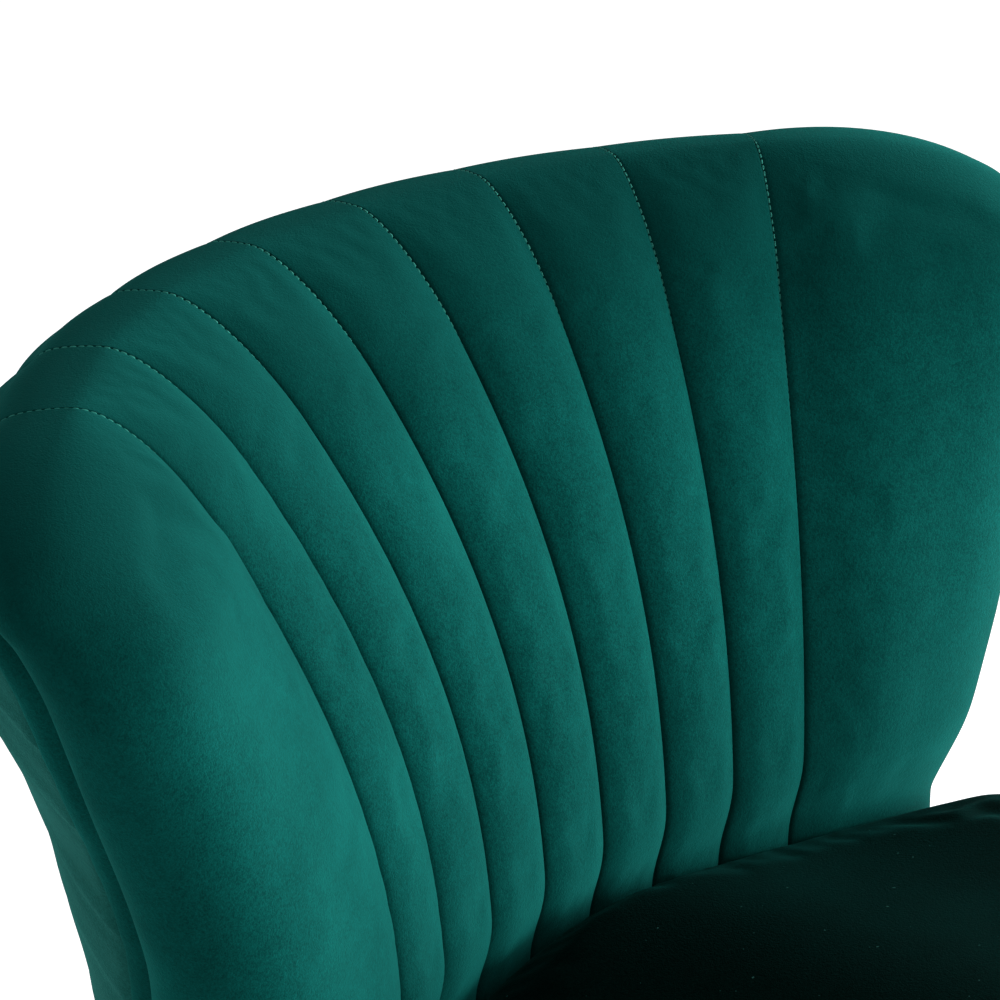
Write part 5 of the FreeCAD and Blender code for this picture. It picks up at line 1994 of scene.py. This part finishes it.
@dataclass
class HardParts:
    """The wood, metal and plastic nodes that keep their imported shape."""

    shop: Workshop

    def build(self) -> None:
        """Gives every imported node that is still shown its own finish."""
        slots = {part["node"]: part["material_slot"] for part in frame["record"]["subparts"]}
        for name, piece in frame["nodes"].items():
            if name in self.shop.dressed:
                continue
            material = self.shop.finishes[slots[name]]
            if not piece.material_slots:
                piece.data.materials.append(material)
            for slot in piece.material_slots:
                slot.material = material
            LOG.info("%s keeps its shape, finish %s", name, slots[name])


@dataclass
class Studio:
    """Camera, lamps, floor and the white behind the chair."""

    place: Vector = Vector((-1.1566, -0.7715, 1.2503))
    right: Vector = Vector((0.62969, -0.77678, -0.00987))
    up: Vector = Vector((0.29632, 0.22843, 0.92737))
    back: Vector = Vector((-0.71811, -0.58688, 0.37402))
    lens: float = 132.62
    sensor: float = 36.0
    near: float = 0.02
    far: float = 60.0
    sky: float = 0.22
    floor_reach: float = 14.0
    floor_glow: float = 0.90
    floor_greys: tuple[Colour, Colour] = ((0.64, 0.64, 0.64), (0.68, 0.68, 0.68))
    sky_colour: Colour = (0.94, 0.97, 1.0)
    white: Colour = (1.0, 1.0, 1.0)
    aim: Triple = (0.0, 0.1, 0.58)
    lamps: tuple[tuple[str, Triple, float, float], ...] = (
        ("key", (2.6, -1.2, 0.7), 1.3, 76.0),
        ("front", (1.6, -2.5, 0.9), 1.3, 98.0),
        ("side", (-2.3, -1.1, 1.2), 1.8, 14.0),
    )

    def camera(self) -> None:
        """Makes the camera at the photographed angle."""
        data = bpy.data.cameras.new("camera")
        data.lens = self.lens
        data.sensor_width = self.sensor
        data.clip_start = self.near
        data.clip_end = self.far
        camera = in_scene("camera", data)
        turn = Matrix((self.right, self.up, self.back)).transposed().to_4x4()
        camera.matrix_world = Matrix.Translation(self.place) @ turn
        bpy.context.scene.camera = camera

    def lamp(self, name: str, place: Triple, width: float, power: float) -> None:
        """Hangs one square soft lamp that points at the chair.

        Args:
            name: its name.
            place: where it hangs.
            width: length of a side.
            power: its power in watts.
        """
        data = bpy.data.lights.new(name, "AREA")
        data.shape = "SQUARE"
        data.size = width
        data.energy = power
        turn = (Vector(self.aim) - Vector(place)).to_track_quat("-Z", "Y").to_matrix().to_4x4()
        in_scene(name, data).matrix_world = Matrix.Translation(place) @ turn

    def seen(self, shader: Shader) -> Socket:
        """1 for what the camera, a reflection or a clear pane sees.

        Args:
            shader: the material or the room that asks.

        Returns:
            The wrapped number.
        """
        camera, glossy, clear = (shader.node("ShaderNodeLightPath", output=f"Is {ray} Ray")
                                 for ray in ("Camera", "Glossy", "Transmission"))
        return (camera + glossy + clear).above(0.0, 1.0)

    def floor(self) -> None:
        """Lays a wide pale floor that keeps the chair's shadow."""
        data = bpy.data.meshes.new("floor")
        far = self.floor_reach
        corners = [(-far, -far, 0), (far, -far, 0), (far, far, 0), (-far, far, 0)]
        data.from_pydata(corners, [], [(0, 1, 2, 3)])
        floor = in_scene("floor", data)
        shader = Shader("pale_floor")
        patches = shader.noise(3.0, 2.0)
        colour = shader.mix(patches, *self.floor_greys)
        lit = shader.node("ShaderNodeBsdfDiffuse", {}, {"Color": colour})
        strength = self.seen(shader) * self.floor_glow
        glow = shader.node("ShaderNodeEmission", {}, {"Color": self.white, "Strength": strength})
        both = shader.node("ShaderNodeAddShader", {}, {0: lit, 1: glow})
        data.materials.append(shader.surface(both))

    def sky_light(self) -> None:
        """Fills the room with an even soft light, and white where it is seen."""
        shader = Shader("room", room=True)
        soft, white = (shader.node("ShaderNodeBackground", {}, {"Color": colour, "Strength": strength})
                       for colour, strength in ((self.sky_colour, self.sky), (self.white, 1.0)))
        both = shader.node("ShaderNodeMixShader", {}, {0: self.seen(shader), 1: soft, 2: white})
        bpy.context.scene.world = shader.surface(both)

    def build(self) -> None:
        """Sets the whole studio."""
        self.camera()
        self.floor()
        self.sky_light()
        for lamp in self.lamps:
            self.lamp(*lamp)
        bpy.context.scene.view_settings.view_transform = "Standard"


def main() -> None:
    """Builds the chair's sub-assemblies in order and sets the studio."""
    logging.basicConfig(level=logging.INFO, format="%(relativeCreated)d ms %(message)s")
    shop = Workshop()
    form = BackForm()
    Studio().build()
    ChannelledBack(form, shop).build()
    OuterBack(form, shop).build()
    Seat(shop).build()
    InnerSoft(shop).build()
    HardParts(shop).build()


if __name__ == "__main__":
    main()
